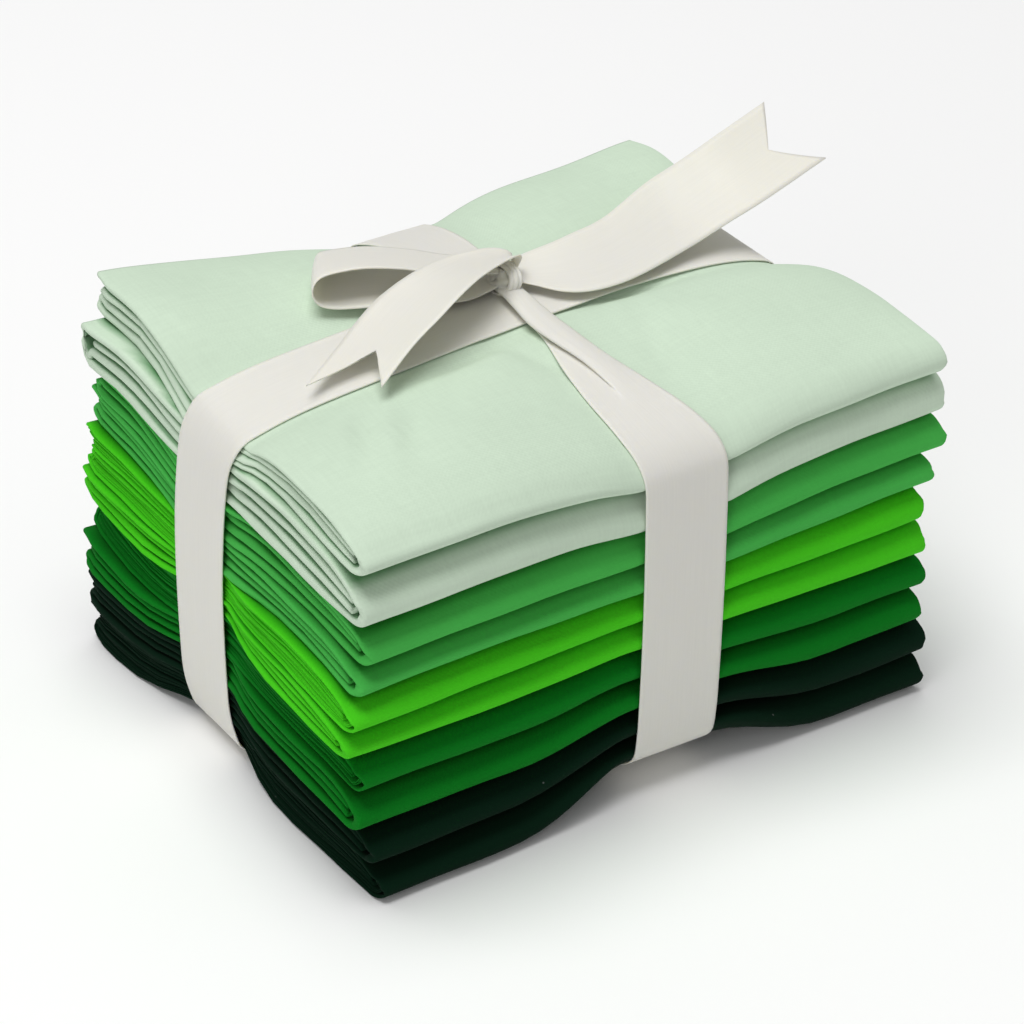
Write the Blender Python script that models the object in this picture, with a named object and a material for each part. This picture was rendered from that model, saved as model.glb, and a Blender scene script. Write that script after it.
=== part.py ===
"""Fat quarter bundle.

Ten cotton fat quarters, each folded in four along both edges, lie in a stack. One satin ribbon is tied
round the stack both ways and ends in a half bow: one loop and two swallow-tailed ends.

Lengths in this file are millimetres and turn into metres at the mesh. X runs along the folded width, Y
along the folded depth from the rounded front folds to the back, and Z is up. The stack rests on Z = 0.
"""

import math
from collections import namedtuple

import bmesh
import bpy
from mathutils import Vector

MM = 0.001

# A fat quarter is cut 22 by 18 inches, and both edges are folded in four
FOLDED_WIDTH = 22 * 25.4 / 4
FOLDED_DEPTH = 18 * 25.4 / 4
FOLD_COUNT = 10

# A folded piece in section: four layers, each of them four plies of cotton
NOMINAL_HEIGHT = 8.5
LAYER = 1.7
LAYER_GAP = (NOMINAL_HEIGHT - 4 * LAYER) / 3
CLEARANCE = 0.3

# The ribbon and the two lines that it runs along
RIBBON_WIDTH = 20.0
RIBBON_THICKNESS = 1.0
SHORT_RUN_GAP = 0.5
RIBBON_X = 74.5
RIBBON_Y = 65.0
HALF_BAND = RIBBON_WIDTH / 2

# Stations of the faceted surfaces: the ribbon's edges, and where its hollows end
X_STATIONS = (12.0, 40.0, RIBBON_X - HALF_BAND, RIBBON_X + HALF_BAND, 109.0, 128.0)
Y_STATIONS = (14.0, 36.0, RIBBON_Y - HALF_BAND, RIBBON_Y + HALF_BAND, 94.0, 107.0)

# The front fold is a wide nose that leans down, as the pieces above press on it
NOSE = 5.0
NOSE_LEAN = 0.32
NOSE_ROLL = Y_STATIONS[0]
OUTER_FOLD_STEPS = 5
INNER_FOLD_STEPS = 3

# Heights of the boundaries between the pieces at the stack's corners, from the ground up
Level = namedtuple("Level", "front_left front_right back_left back_right")
LEVELS = (
    Level(0.0, 0.0, 0.0, 0.0),
    Level(9.0, 8.8, 10.0, 8.8),
    Level(17.5, 17.6, 21.0, 17.6),
    Level(26.5, 26.4, 29.5, 26.4),
    Level(35.5, 35.2, 40.0, 35.2),
    Level(42.5, 44.0, 47.5, 44.0),
    Level(50.0, 52.8, 56.5, 52.8),
    Level(57.5, 61.6, 64.0, 61.6),
    Level(66.0, 70.8, 71.5, 70.6),
    Level(76.0, 79.8, 82.0, 79.2),
    Level(84.5, 87.0, 91.0, 88.0),
)

# How far each piece's ends and folds stand off the stack's even box, from the ground up
Piece = namedtuple("Piece", "name cloth left right front_left front_right back")
PIECES = (
    Piece("fat_quarter_10", "forest", 0.0, 1.5, -4.2, 0.0, 0.5),
    Piece("fat_quarter_09", "forest", -1.0, 1.1, -3.5, 0.0, -0.6),
    Piece("fat_quarter_08", "emerald", -3.5, -1.1, -2.4, -0.6, 0.4),
    Piece("fat_quarter_07", "emerald", -2.5, -0.5, -2.2, -0.2, 1.0),
    Piece("fat_quarter_06", "lime", -5.5, -1.9, -2.0, -1.0, -0.5),
    Piece("fat_quarter_05", "lime", -4.0, -2.9, -2.8, -0.8, 0.8),
    Piece("fat_quarter_04", "grass", -3.0, -1.3, -1.9, -0.9, -0.2),
    Piece("fat_quarter_03", "grass", 0.0, 1.8, -2.7, -0.2, 0.6),
    Piece("fat_quarter_02", "mint", -1.0, 1.1, -3.2, 0.3, 1.2),
    Piece("fat_quarter_01", "mint", 1.6, 0.0, -1.9, -0.4, 0.0),
)
INNER_SETBACK = 0.8
TOP_END_SETBACK = 0.6
INNER_END_SETBACK = 3.0

# How deep the ribbon draws the stack in, along its own line and at the edge it turns over
Draw = namedtuple("Draw", "along at_start at_end start_reach end_reach start_spread end_spread")
TOP_DRAW_X = Draw(2.5, 5.7, 5.0, 15.0, 13.0, 9.0, 8.0)
TOP_DRAW_Y = Draw(2.5, 4.2, 7.5, 13.0, 16.0, 12.0, 20.0)
BASE_DRAW_X = Draw(1.9, 3.4, 3.4, 9.0, 9.0, 19.0, 19.0)
BASE_DRAW_Y = Draw(1.9, 7.4, 4.5, 9.0, 9.0, 24.5, 24.5)
SOFTNESS = 3.0
CROWN = 2.6
EDGE_ROLL = 9.0

# The ribbon's own wander off its straight lines, which the hollows follow
TOP_LEFT_WANDER = -5.0
WANDER_LENGTH = 70.0
BACK_WANDER = -2.0
WANDER_FADE = 25.0

# Where the ribbon presses on the faces, the pieces bow out in the middle and round off above and below
TOP_ROUND_FROM = 8.5
TOP_CORNER_FROM = 9.6
BASE_ROUND_TO = 1.0
Bow = namedtuple("Bow", "bulge top_round top_corner base_round")
LEFT_BOW = Bow(3.4, 2.5, 2.0, 1.2)
RIGHT_BOW = Bow(1.5, 2.5, 2.0, 1.2)
FRONT_BOW = Bow(0.8, 0.5, 0.0, 0.4)
BACK_BOW = Bow(1.0, 1.5, 1.5, 0.8)
FACE_SPREAD = 9.0

COLOURS = {
    "mint": (0.631, 0.753, 0.624),
    "grass": (0.047, 0.333, 0.055),
    "lime": (0.051, 0.423, 0.009),
    "emerald": (0.003, 0.107, 0.012),
    "forest": (0.002, 0.016, 0.006),
    "ribbon": (0.831, 0.807, 0.752),
}
CLOTH_ROUGHNESS = 0.9
RIBBON_ROUGHNESS = 0.45

# The bow, each row a station of the ribbon's middle with its two edges
Station = namedtuple("Station", "near_x near_y near_z far_x far_y far_z")
LOOP = (
    Station(71.0, 64.0, 89.6, 74.5, 73.0, 89.6),
    Station(62.8, 63.4, 89.4, 66.9, 80.9, 89.5),
    Station(55.6, 65.2, 89.9, 60.8, 84.6, 89.6),
    Station(46.8, 69.0, 90.0, 52.4, 88.4, 90.2),
    Station(40.2, 71.6, 90.0, 46.4, 89.6, 90.9),
    Station(36.0, 73.2, 90.3, 43.6, 89.9, 91.1),
    Station(33.3, 74.4, 91.4, 42.5, 90.3, 91.5),
    Station(32.2, 75.1, 93.9, 42.0, 90.6, 92.3),
    Station(33.3, 75.2, 96.5, 42.5, 90.8, 93.1),
    Station(36.2, 74.7, 97.6, 44.4, 90.9, 93.5),
    Station(43.2, 73.1, 97.8, 52.6, 88.6, 93.4),
    Station(51.2, 70.9, 96.5, 60.2, 83.3, 93.1),
    Station(57.1, 69.1, 94.8, 65.2, 78.3, 92.9),
    Station(63.2, 67.2, 93.2, 69.4, 74.6, 92.8),
    Station(73.0, 67.0, 91.8, 76.0, 71.5, 91.8),
)
LEFT_TAIL = (
    Station(79.4, 66.6, 91.6, 78.8, 71.0, 91.6),
    Station(76.6, 64.8, 95.2, 72.6, 72.4, 94.8),
    Station(69.5, 60.7, 97.5, 62.8, 70.9, 95.6),
    Station(60.7, 54.9, 99.3, 52.7, 68.3, 95.2),
    Station(53.1, 50.3, 99.4, 43.3, 66.7, 92.6),
    Station(45.7, 46.9, 97.6, 35.8, 63.8, 90.8),
    Station(37.8, 44.3, 94.6, 28.3, 59.0, 89.6),
    Station(27.3, 39.3, 90.4, 16.4, 50.5, 88.8),
)
RIGHT_TAIL = (
    Station(76.8, 64.0, 89.4, 81.6, 71.6, 90.4),
    Station(79.0, 57.0, 89.4, 87.0, 70.4, 92.8),
    Station(84.4, 53.8, 89.4, 92.8, 71.0, 93.4),
    Station(91.4, 52.6, 89.6, 98.2, 71.8, 93.6),
    Station(100.6, 53.6, 89.8, 104.4, 73.4, 94.0),
    Station(116.4, 58.0, 90.2, 117.2, 77.5, 96.6),
    Station(127.3, 59.6, 92.6, 127.9, 78.8, 99.5),
    Station(138.2, 60.8, 95.0, 137.7, 80.4, 102.0),
    Station(157.2, 65.4, 98.0, 154.2, 84.9, 104.5),
)
NOTCH = 9.0
KNOT_CENTRE = (77.0, 67.4, 91.0)
KNOT_RADII = (4.4, 5.2, 3.2)
KNOT_SEGMENTS = 10
KNOT_RINGS = 6

# The short run is gathered into the knot
GATHERED_HALF_WIDTH = 4.5
GATHER_LENGTH = 30.0
GATHER_POWER = 1.5

# Where the runs are fitted to the faces: levels up the ends, and shares of a piece's height at the back
END_LEVELS = (9.8, 9.5, 9.0, 8.5, 8.0, 7.0, 6.0, 5.0, 4.0, 3.0, 2.0, 1.0, 0.5)
BACK_RISES = (0.02, 0.5, 0.98)


def clear_scene():
    """Remove whatever the scene holds."""
    for item in list(bpy.data.objects):
        bpy.data.objects.remove(item, do_unlink=True)


def make_material(name, colour, roughness):
    """Give back a plain material of one colour."""
    material = bpy.data.materials.new(name)
    material.use_nodes = True
    shader = material.node_tree.nodes["Principled BSDF"]
    shader.inputs["Base Color"].default_value = (*colour, 1.0)
    shader.inputs["Roughness"].default_value = roughness
    shader.inputs["Metallic"].default_value = 0.0
    return material


def fade_out(distance, half_band, spread):
    """Give 1 under the ribbon and a soft fall to 0 beside it."""
    beyond = max(abs(distance) - half_band, 0.0)
    return math.exp((SOFTNESS - math.hypot(beyond, SOFTNESS)) / spread)


def fade_to_flat(distance, half_band, spread):
    """Give 1 under the ribbon and 0 from a set distance on, so that the cloth there lies flat."""
    beyond = max(abs(distance) - half_band, 0.0) / spread
    return (1.0 - min(beyond, 1.0) ** 2) ** 2


def draw_depth(draw, place, length):
    """Give how deep the ribbon draws the cloth in at a place along its own line."""
    from_start = draw.at_start * math.exp(-place / draw.start_reach)
    from_end = draw.at_end * math.exp((place - length) / draw.end_reach)
    return draw.along + from_start + from_end


def draw_spread(draw, place, length):
    """Give how wide the hollow beside the ribbon is at a place along its own line."""
    share = place / length
    return draw.start_spread + (draw.end_spread - draw.start_spread) * share


def drawn_in(draw_x, draw_y, fade, x, y):
    """Give the hollow that both runs of the ribbon press at one place."""
    spread_x = draw_spread(draw_x, x, FOLDED_WIDTH)
    spread_y = draw_spread(draw_y, y, FOLDED_DEPTH)
    along_x = draw_depth(draw_x, x, FOLDED_WIDTH) * fade(y - RIBBON_Y, HALF_BAND, spread_x)
    along_y = draw_depth(draw_y, y, FOLDED_DEPTH) * fade(x - RIBBON_X, HALF_BAND, spread_y)
    return (along_x ** 4 + along_y ** 4) ** 0.25


def edge_rise(distance):
    """Give 0 at the stack's edge and 1 well inside it."""
    return 1.0 - math.exp(-distance / EDGE_ROLL)


def smooth_height(x, y, level):
    """Give the height of a boundary between two pieces. Level 0 is the ground and 10 the top."""
    across = x / FOLDED_WIDTH
    back = y / FOLDED_DEPTH
    corner = LEVELS[level]
    front = corner.front_left + (corner.front_right - corner.front_left) * across
    rear = corner.back_left + (corner.back_right - corner.back_left) * across
    share = level / FOLD_COUNT
    rise_x = edge_rise(x) * edge_rise(FOLDED_WIDTH - x)
    rise_y = edge_rise(y) * edge_rise(FOLDED_DEPTH - y)
    height = front + (rear - front) * back + CROWN * share ** 2 * rise_x * rise_y
    height -= share ** 3 * drawn_in(TOP_DRAW_X, TOP_DRAW_Y, fade_out, x, y)
    height += (1.0 - share) ** 3 * drawn_in(BASE_DRAW_X, BASE_DRAW_Y, fade_to_flat, x, y)
    return height


def end_samples(place, stations, length):
    """Give the places and shares that carry a straight line from the end stations out to the edges."""
    if place < stations[0]:
        share = place / stations[0]
        return ((0.0, 1.0 - share), (stations[0], share))
    if place > stations[-1]:
        share = (length - place) / (length - stations[-1])
        return ((length, 1.0 - share), (stations[-1], share))
    return ((place, 1.0),)


def level_height(x, y, level):
    """Give a boundary's height on the faceted surface, which is straight past the end stations."""
    height = 0.0
    for sample_x, share_x in end_samples(x, X_STATIONS, FOLDED_WIDTH):
        for sample_y, share_y in end_samples(y, Y_STATIONS, FOLDED_DEPTH):
            height += share_x * share_y * smooth_height(sample_x, sample_y, level)
    return height


def wander(x, y, level):
    """Move a place sideways with the ribbon, where the ribbon strays from its straight line."""
    shift_y = 0.0
    if x < WANDER_LENGTH:
        turn = math.cos(math.pi * max(x, 0.0) / (2 * WANDER_LENGTH)) ** 2
        shift_y = TOP_LEFT_WANDER * turn * (level / FOLD_COUNT) ** 6
    shift_x = BACK_WANDER * max(y - RIBBON_Y, 0.0) / (FOLDED_DEPTH - RIBBON_Y)
    fade_x = math.exp(-(max(abs(x - RIBBON_X) - HALF_BAND, 0.0) / WANDER_FADE) ** 2)
    fade_y = math.exp(-(max(abs(y - RIBBON_Y) - HALF_BAND, 0.0) / WANDER_FADE) ** 2)
    return x + shift_x * fade_x, y + shift_y * fade_y


def bow_depth(bow, level):
    """Give how far the stack's face stands out under the ribbon at a level."""
    out = bow.bulge * math.sin(math.pi * level / FOLD_COUNT)
    out -= bow.top_round * (max(level - TOP_ROUND_FROM, 0.0) / (FOLD_COUNT - TOP_ROUND_FROM)) ** 2
    out -= bow.top_corner * (max(level - TOP_CORNER_FROM, 0.0) / (FOLD_COUNT - TOP_CORNER_FROM)) ** 2
    out -= bow.base_round * (max(BASE_ROUND_TO - level, 0.0) / BASE_ROUND_TO) ** 2
    return out


def blend(first, second, share):
    """Give a value between two others."""
    return first + (second - first) * share


def left_end(piece, y, level):
    """Give the X of a piece's left end."""
    share = fade_out(y - RIBBON_Y, HALF_BAND, FACE_SPREAD)
    return blend(piece.left, -bow_depth(LEFT_BOW, level), share)


def right_end(piece, y, level):
    """Give the X of a piece's right end."""
    share = fade_out(y - RIBBON_Y, HALF_BAND, FACE_SPREAD)
    return FOLDED_WIDTH + blend(piece.right, bow_depth(RIGHT_BOW, level), share)


def front_fold(piece, x, level):
    """Give the Y of the nose of a piece's front fold."""
    share = fade_out(x - RIBBON_X, HALF_BAND, FACE_SPREAD)
    free = blend(piece.front_left, piece.front_right, x / FOLDED_WIDTH)
    return blend(free, -bow_depth(FRONT_BOW, level), share)


def back_fold(piece, x, level):
    """Give the Y of the back of a piece."""
    share = fade_out(x - RIBBON_X, HALF_BAND, FACE_SPREAD)
    return FOLDED_DEPTH + blend(piece.back, bow_depth(BACK_BOW, level), share)


def lay(x, y, rise, index):
    """Place a point of a piece. Rise is 0 at the piece's underside and 1 at its top."""
    nose = max(1.0 - max(y, 0.0) / NOSE_ROLL, 0.0) ** 2
    rise *= 1.0 - NOSE_LEAN * nose
    low = level_height(x, y, index)
    high = level_height(x, y, index + 1)
    if index > 0:
        low += CLEARANCE / 2
    if index + 1 < FOLD_COUNT:
        high -= CLEARANCE / 2
    place_x, place_y = wander(x, y, index + rise)
    return Vector((place_x, place_y, low + (high - low) * rise))


def arc(centre, radii, start, end, steps):
    """Give points of an elliptic arc without its two ends."""
    points = []
    for step in range(1, steps):
        angle = math.radians(start + (end - start) * step / steps)
        points.append((centre[0] + radii[0] * math.cos(angle), centre[1] + radii[1] * math.sin(angle)))
    return points


def folded_section():
    """Give the two sides of one back-and-forth section as (y, depth in the piece) points.

    Each Y is a pair: a share of the way from front to back, and an offset in millimetres from there.
    The strip starts at the back of the top layer and comes forward. It turns round the front nose to
    the bottom layer, goes back, folds up at the back, comes forward and folds up once more inside the
    nose, and ends at the back under the top layer.
    """
    layers = [step * (LAYER + LAYER_GAP) for step in range(4)]
    bottom, lower, upper, top = layers
    middle = NOMINAL_HEIGHT / 2
    outer_radius = NOMINAL_HEIGHT / 2
    fold_radius = LAYER + LAYER_GAP / 2
    gap_radius = LAYER_GAP / 2
    back_centre = lower - LAYER_GAP / 2
    stations = list(Y_STATIONS)
    front_line = "front"
    back_line = "back"

    def run(height, forward, start, end):
        points = [start] + [("at", value, height) for value in stations] + [end]
        return points[::-1] if forward else points

    def nose(radii, start, end, steps):
        return [(front_line, NOSE + point[0], point[1]) for point in arc((0.0, middle), radii, start, end, steps)]

    def heel(radii, start, end, steps):
        centre = (0.0, back_centre)
        return [(back_line, point[0] - fold_radius, point[1]) for point in arc(centre, radii, start, end, steps)]

    wide = (NOSE, outer_radius)
    narrow = (NOSE - LAYER, outer_radius - LAYER)
    tight = (fold_radius, fold_radius)
    inside = (gap_radius, gap_radius)
    front_start = (front_line, NOSE, 0.0)

    def ends(height, back_offset):
        return (front_line, NOSE, height), (back_line, back_offset, height)

    outer_side = run(top + LAYER, True, *ends(top + LAYER, -TOP_END_SETBACK))
    outer_side += nose(wide, 90, 270, OUTER_FOLD_STEPS)
    outer_side += run(bottom, False, *ends(bottom, -fold_radius))
    outer_side += heel(tight, -90, 90, INNER_FOLD_STEPS)
    outer_side += run(lower + LAYER, True, *ends(lower + LAYER, -fold_radius))
    outer_side += nose(inside, 270, 90, INNER_FOLD_STEPS)
    outer_side += run(upper, False, *ends(upper, -INNER_END_SETBACK))

    inner_side = run(top, True, *ends(top, -TOP_END_SETBACK))
    inner_side += nose(narrow, 90, 270, OUTER_FOLD_STEPS)
    inner_side += run(bottom + LAYER, False, *ends(bottom + LAYER, -fold_radius))
    inner_side += heel(inside, -90, 90, INNER_FOLD_STEPS)
    inner_side += run(lower, True, *ends(lower, -fold_radius))
    inner_side += nose(tight, 270, 90, INNER_FOLD_STEPS)
    inner_side += run(upper + LAYER, False, *ends(upper + LAYER, -INNER_END_SETBACK))
    return outer_side, inner_side


def resolve(point, piece, index, x):
    """Turn a section point into a Y and a rise at one X."""
    line, offset, depth = point
    rise = depth / NOMINAL_HEIGHT
    level = index + rise
    if line == "front":
        return front_fold(piece, x, index + 0.5) + offset, rise
    if line == "back":
        return back_fold(piece, x, level) + offset, rise
    return offset, rise


def section_row(points, piece, index, station):
    """Place one side of the section at one station along X."""
    row = []
    for point in points:
        guess = min(max(station, 0.0), FOLDED_WIDTH)
        y, rise = resolve(point, piece, index, guess)
        setback = INNER_SETBACK * (1.0 - abs(2 * rise - 1.0))
        level = index + rise
        if station < 0.0:
            x = left_end(piece, y, level) + setback
        elif station > FOLDED_WIDTH:
            x = right_end(piece, y, level) - setback
        else:
            x = station
        row.append((lay(x, y, rise, index), y))
    return row


def add_object(name, bm, material):
    """Make an object of a mesh that is built in millimetres."""
    bmesh.ops.recalc_face_normals(bm, faces=bm.faces)
    bmesh.ops.scale(bm, vec=Vector((MM, MM, MM)), verts=bm.verts)
    mesh = bpy.data.meshes.new(name)
    bm.to_mesh(mesh)
    bm.free()
    mesh.materials.append(material)
    item = bpy.data.objects.new(name, mesh)
    bpy.context.scene.collection.objects.link(item)
    return item


def split_quad(bm, corners, rising):
    """Add a four-sided face as two triangles, with its diagonal on the chosen side."""
    first, second, third, fourth = corners
    if rising:
        bm.faces.new((first, second, third))
        bm.faces.new((first, third, fourth))
    else:
        bm.faces.new((first, second, fourth))
        bm.faces.new((second, third, fourth))


def fold_piece(piece, index, materials):
    """Make one folded fat quarter: its section, carried along X over the stack's hollows."""
    outer_side, inner_side = folded_section()
    outline = outer_side + inner_side[::-1]
    count = len(outline)
    stations = (-1.0,) + X_STATIONS + (FOLDED_WIDTH + 1.0,)
    bm = bmesh.new()
    rows = []
    depths = []
    for station in stations:
        row = section_row(outline, piece, index, station)
        rows.append([bm.verts.new(place) for place, _ in row])
        depths.append([y for _, y in row])
    for near in range(len(rows) - 1):
        for step in range(count):
            after = (step + 1) % count
            corners = (rows[near][step], rows[near][after], rows[near + 1][after], rows[near + 1][step])
            split_quad(bm, corners, depths[near][after] > depths[near][step])
    for row in (rows[0], rows[-1]):
        for step in range(len(outer_side) - 1):
            corners = (row[step], row[step + 1], row[count - 2 - step], row[count - 1 - step])
            split_quad(bm, corners, True)
    return add_object(piece.name, bm, materials[piece.cloth])


def edge_normals(points, closed):
    """Give the outward normals of a path's points in the plane they lie in."""
    count = len(points)
    normals = []
    for step in range(count):
        before = points[(step - 1) % count] if closed or step > 0 else points[step]
        after = points[(step + 1) % count] if closed or step < count - 1 else points[step]
        here = points[step]
        spans = [here - before, after - here]
        units = [Vector((span[1], -span[0])).normalized() for span in spans if span.length > 0]
        total = sum(units, Vector((0.0, 0.0))).normalized()
        stretch = 1.0 / max(total.dot(units[0]), 0.5)
        normals.append(total * stretch)
    return normals


def band_rows(edge_points, axes, gap):
    """Give the inner and outer rows of a closed band from the cloth line under each of its edges."""
    rows = []
    for points in edge_points:
        flat = [Vector((point[axes[0]], point[axes[1]])) for point in points]
        normals = edge_normals(flat, True)
        for lift in (gap, gap + RIBBON_THICKNESS):
            row = []
            for point, normal in zip(points, normals):
                moved = point.copy()
                moved[axes[0]] += normal[0] * lift
                moved[axes[1]] += normal[1] * lift
                row.append(moved)
            rows.append(row)
    return rows


def band_mesh(rows):
    """Make a closed band of a near inner, near outer, far inner and far outer row."""
    bm = bmesh.new()
    near_in, near_out, far_in, far_out = [[bm.verts.new(point) for point in row] for row in rows]
    count = len(near_in)
    for step in range(count):
        after = (step + 1) % count
        for first, second in ((near_in, far_in), (near_out, far_out)):
            rising = first[after].co.x + first[after].co.y > first[step].co.x + first[step].co.y
            split_quad(bm, (first[step], first[after], second[after], second[step]), rising)
        for first, second in ((near_in, near_out), (far_in, far_out)):
            split_quad(bm, (first[step], first[after], second[after], second[step]), True)
    return bm


def long_band_line(y):
    """Give the cloth line under one edge of the ribbon that runs along X, top, right, base and left."""
    top = FOLD_COUNT - 1

    def end_points(finder, order):
        points = []
        for level in order:
            index = min(int(level), top)
            points.append(lay(finder(PIECES[index], y, level), y, level - index, index))
        return points

    points = [lay(left_end(PIECES[top], y, FOLD_COUNT), y, 1.0, top)]
    points += [lay(x, y, 1.0, top) for x in X_STATIONS]
    points.append(lay(right_end(PIECES[top], y, FOLD_COUNT), y, 1.0, top))
    points += end_points(right_end, END_LEVELS)
    points.append(lay(right_end(PIECES[0], y, 0), y, 0.0, 0))
    points += [lay(x, y, 0.0, 0) for x in reversed(X_STATIONS)]
    points.append(lay(left_end(PIECES[0], y, 0), y, 0.0, 0))
    points += end_points(left_end, END_LEVELS[::-1])
    return points[::-1]


def half_width(y):
    """Give half the ribbon's width on the top run, where it is gathered into the knot."""
    away = abs(y - KNOT_CENTRE[1]) / GATHER_LENGTH
    return blend(GATHERED_HALF_WIDTH, HALF_BAND, min(away, 1.0) ** GATHER_POWER)


def short_band_line(side):
    """Give the cloth line under one edge of the ribbon that runs along Y, from the front round the base."""
    top = FOLD_COUNT - 1
    wide = RIBBON_X + side * HALF_BAND
    points = []
    for y in reversed(Y_STATIONS):
        points.append(lay(RIBBON_X + side * half_width(y), y, 1.0, top))
    start = front_fold(PIECES[top], wide, top + 0.5) + NOSE
    points.append(lay(wide, start, 1.0, top))
    middle = NOMINAL_HEIGHT / 2
    nose = arc((start, middle), (NOSE, middle), 90, 270, OUTER_FOLD_STEPS)
    points += [lay(wide, y, depth / NOMINAL_HEIGHT, top) for y, depth in nose[:2]]
    for index in range(top, -1, -1):
        points.append(lay(wide, front_fold(PIECES[index], wide, index + 0.5), 0.5, index))
    start = front_fold(PIECES[0], wide, 0.5) + NOSE
    nose = arc((start, middle), (NOSE, middle), 90, 270, OUTER_FOLD_STEPS)
    points += [lay(wide, y, depth / NOMINAL_HEIGHT, 0) for y, depth in nose[2:]]
    points.append(lay(wide, start, 0.0, 0))
    points += [lay(wide, y, 0.0, 0) for y in Y_STATIONS]
    for index in range(FOLD_COUNT):
        for rise in BACK_RISES:
            back = back_fold(PIECES[index], wide, index + rise)
            points.append(lay(wide, back, rise, index))
    return points


def strip_mesh(stations, notched):
    """Make an open length of ribbon through its stations, with a swallow tail at its end if notched."""
    near = [Vector((row.near_x, row.near_y, row.near_z)) for row in stations]
    far = [Vector((row.far_x, row.far_y, row.far_z)) for row in stations]
    count = len(near)
    lines = [near, [(first + second) / 2 for first, second in zip(near, far)], far]
    if notched:
        along = (lines[1][-1] - lines[1][-2]).normalized()
        lines[1][-1] = lines[1][-1] - along * NOTCH
    bm = bmesh.new()
    sheets = {}
    for side in (-0.5, 0.5):
        sheets[side] = []
        for line_index, line in enumerate(lines):
            row = []
            for step in range(count):
                before = (near[max(step - 1, 0)] + far[max(step - 1, 0)]) / 2
                after = (near[min(step + 1, count - 1)] + far[min(step + 1, count - 1)]) / 2
                normal = (after - before).cross(far[step] - near[step]).normalized()
                row.append(bm.verts.new(line[step] + normal * side * RIBBON_THICKNESS))
            sheets[side].append(row)
    for side in (-0.5, 0.5):
        rows = sheets[side]
        for first, second in ((rows[0], rows[1]), (rows[1], rows[2])):
            for step in range(count - 1):
                split_quad(bm, (first[step], first[step + 1], second[step + 1], second[step]), True)
    low = sheets[-0.5]
    high = sheets[0.5]
    for line in (0, 2):
        for step in range(count - 1):
            corners = (low[line][step], low[line][step + 1], high[line][step + 1], high[line][step])
            split_quad(bm, corners, True)
    for step in (0, count - 1):
        for line in (0, 1):
            corners = (low[line][step], low[line + 1][step], high[line + 1][step], high[line][step])
            split_quad(bm, corners, True)
    return bm


def knot_mesh():
    """Make the knot as a rounded lump on the crossing."""
    bm = bmesh.new()
    bmesh.ops.create_uvsphere(bm, u_segments=KNOT_SEGMENTS, v_segments=KNOT_RINGS, radius=1.0)
    bmesh.ops.scale(bm, vec=Vector(KNOT_RADII), verts=bm.verts)
    bmesh.ops.translate(bm, vec=Vector(KNOT_CENTRE), verts=bm.verts)
    return bm


def join_to(target, item):
    """Join a helper solid to the target, so that both are one piece."""
    item.hide_render = True
    item.display_type = "WIRE"
    union = target.modifiers.new("join " + item.name, "BOOLEAN")
    union.operation = "UNION"
    union.solver = "EXACT"
    union.object = item


def tie_ribbon(material):
    """Make the ribbon: two runs round the stack, the knot, the loop and the two free ends, in one solid."""
    near_line = long_band_line(RIBBON_Y - HALF_BAND)
    far_line = long_band_line(RIBBON_Y + HALF_BAND)
    ribbon = add_object("ribbon_tie", band_mesh(band_rows((near_line, far_line), (0, 2), CLEARANCE)), material)
    left_line = short_band_line(-1)
    right_line = short_band_line(1)
    parts = (
        ("short_run", band_mesh(band_rows((left_line, right_line), (1, 2), SHORT_RUN_GAP))),
        ("knot", knot_mesh()),
        ("loop", strip_mesh(LOOP, False)),
        ("left_tail", strip_mesh(LEFT_TAIL, True)),
        ("right_tail", strip_mesh(RIGHT_TAIL, True)),
    )
    for name, bm in parts:
        join_to(ribbon, add_object(name, bm, material))
    return ribbon


def centre_on_origin():
    """Move every mesh so that the middle of the whole bundle's base is the origin."""
    corners = [vertex.co for item in bpy.data.objects for vertex in item.data.vertices]
    low = Vector([min(corner[axis] for corner in corners) for axis in range(3)])
    high = Vector([max(corner[axis] for corner in corners) for axis in range(3)])
    middle = (low + high) / 2
    shift = Vector((-middle.x, -middle.y, 0.0))
    for item in bpy.data.objects:
        for vertex in item.data.vertices:
            vertex.co += shift
    return shift


def main():
    """Build the bundle."""
    clear_scene()
    materials = {}
    for name, colour in COLOURS.items():
        roughness = RIBBON_ROUGHNESS if name == "ribbon" else CLOTH_ROUGHNESS
        materials[name] = make_material(name, colour, roughness)
    for index, piece in enumerate(PIECES):
        fold_piece(piece, index, materials)
    tie_ribbon(materials["ribbon"])
    centre_on_origin()


main()
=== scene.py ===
"""Fat quarter bundle, dressed.

Each fat quarter is one thin sheet of quilting cotton that carries all its own folds, and the satin ribbon
is one thin strip in the lengths that a person wraps and ties. Lengths are millimetres and turn into metres
at the mesh. X runs along the folded width, Y from the rounded front folds to the back, and Z is up. The
stack's own corner is at (0, 0), as in the solids' source, and SHIFT carries it to the row's frame.
"""

import math
from collections import namedtuple

import bpy
import numpy as np
from mathutils import Matrix, Vector


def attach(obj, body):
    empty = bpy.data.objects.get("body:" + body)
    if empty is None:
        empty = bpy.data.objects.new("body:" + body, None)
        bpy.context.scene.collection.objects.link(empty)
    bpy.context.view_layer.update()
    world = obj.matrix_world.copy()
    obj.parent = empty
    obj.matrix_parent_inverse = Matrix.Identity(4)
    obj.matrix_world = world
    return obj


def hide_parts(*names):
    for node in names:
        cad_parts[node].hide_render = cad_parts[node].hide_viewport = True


bl_info = {
    "name": "Fat quarter bundle",
    "version": (1, 0, 0),
    "blender": (4, 5, 0),
    "location": "View3D > Sidebar > Bundle",
    "description": "Folded quilting cottons tied with a satin ribbon",
    "category": "Object",
}

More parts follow.
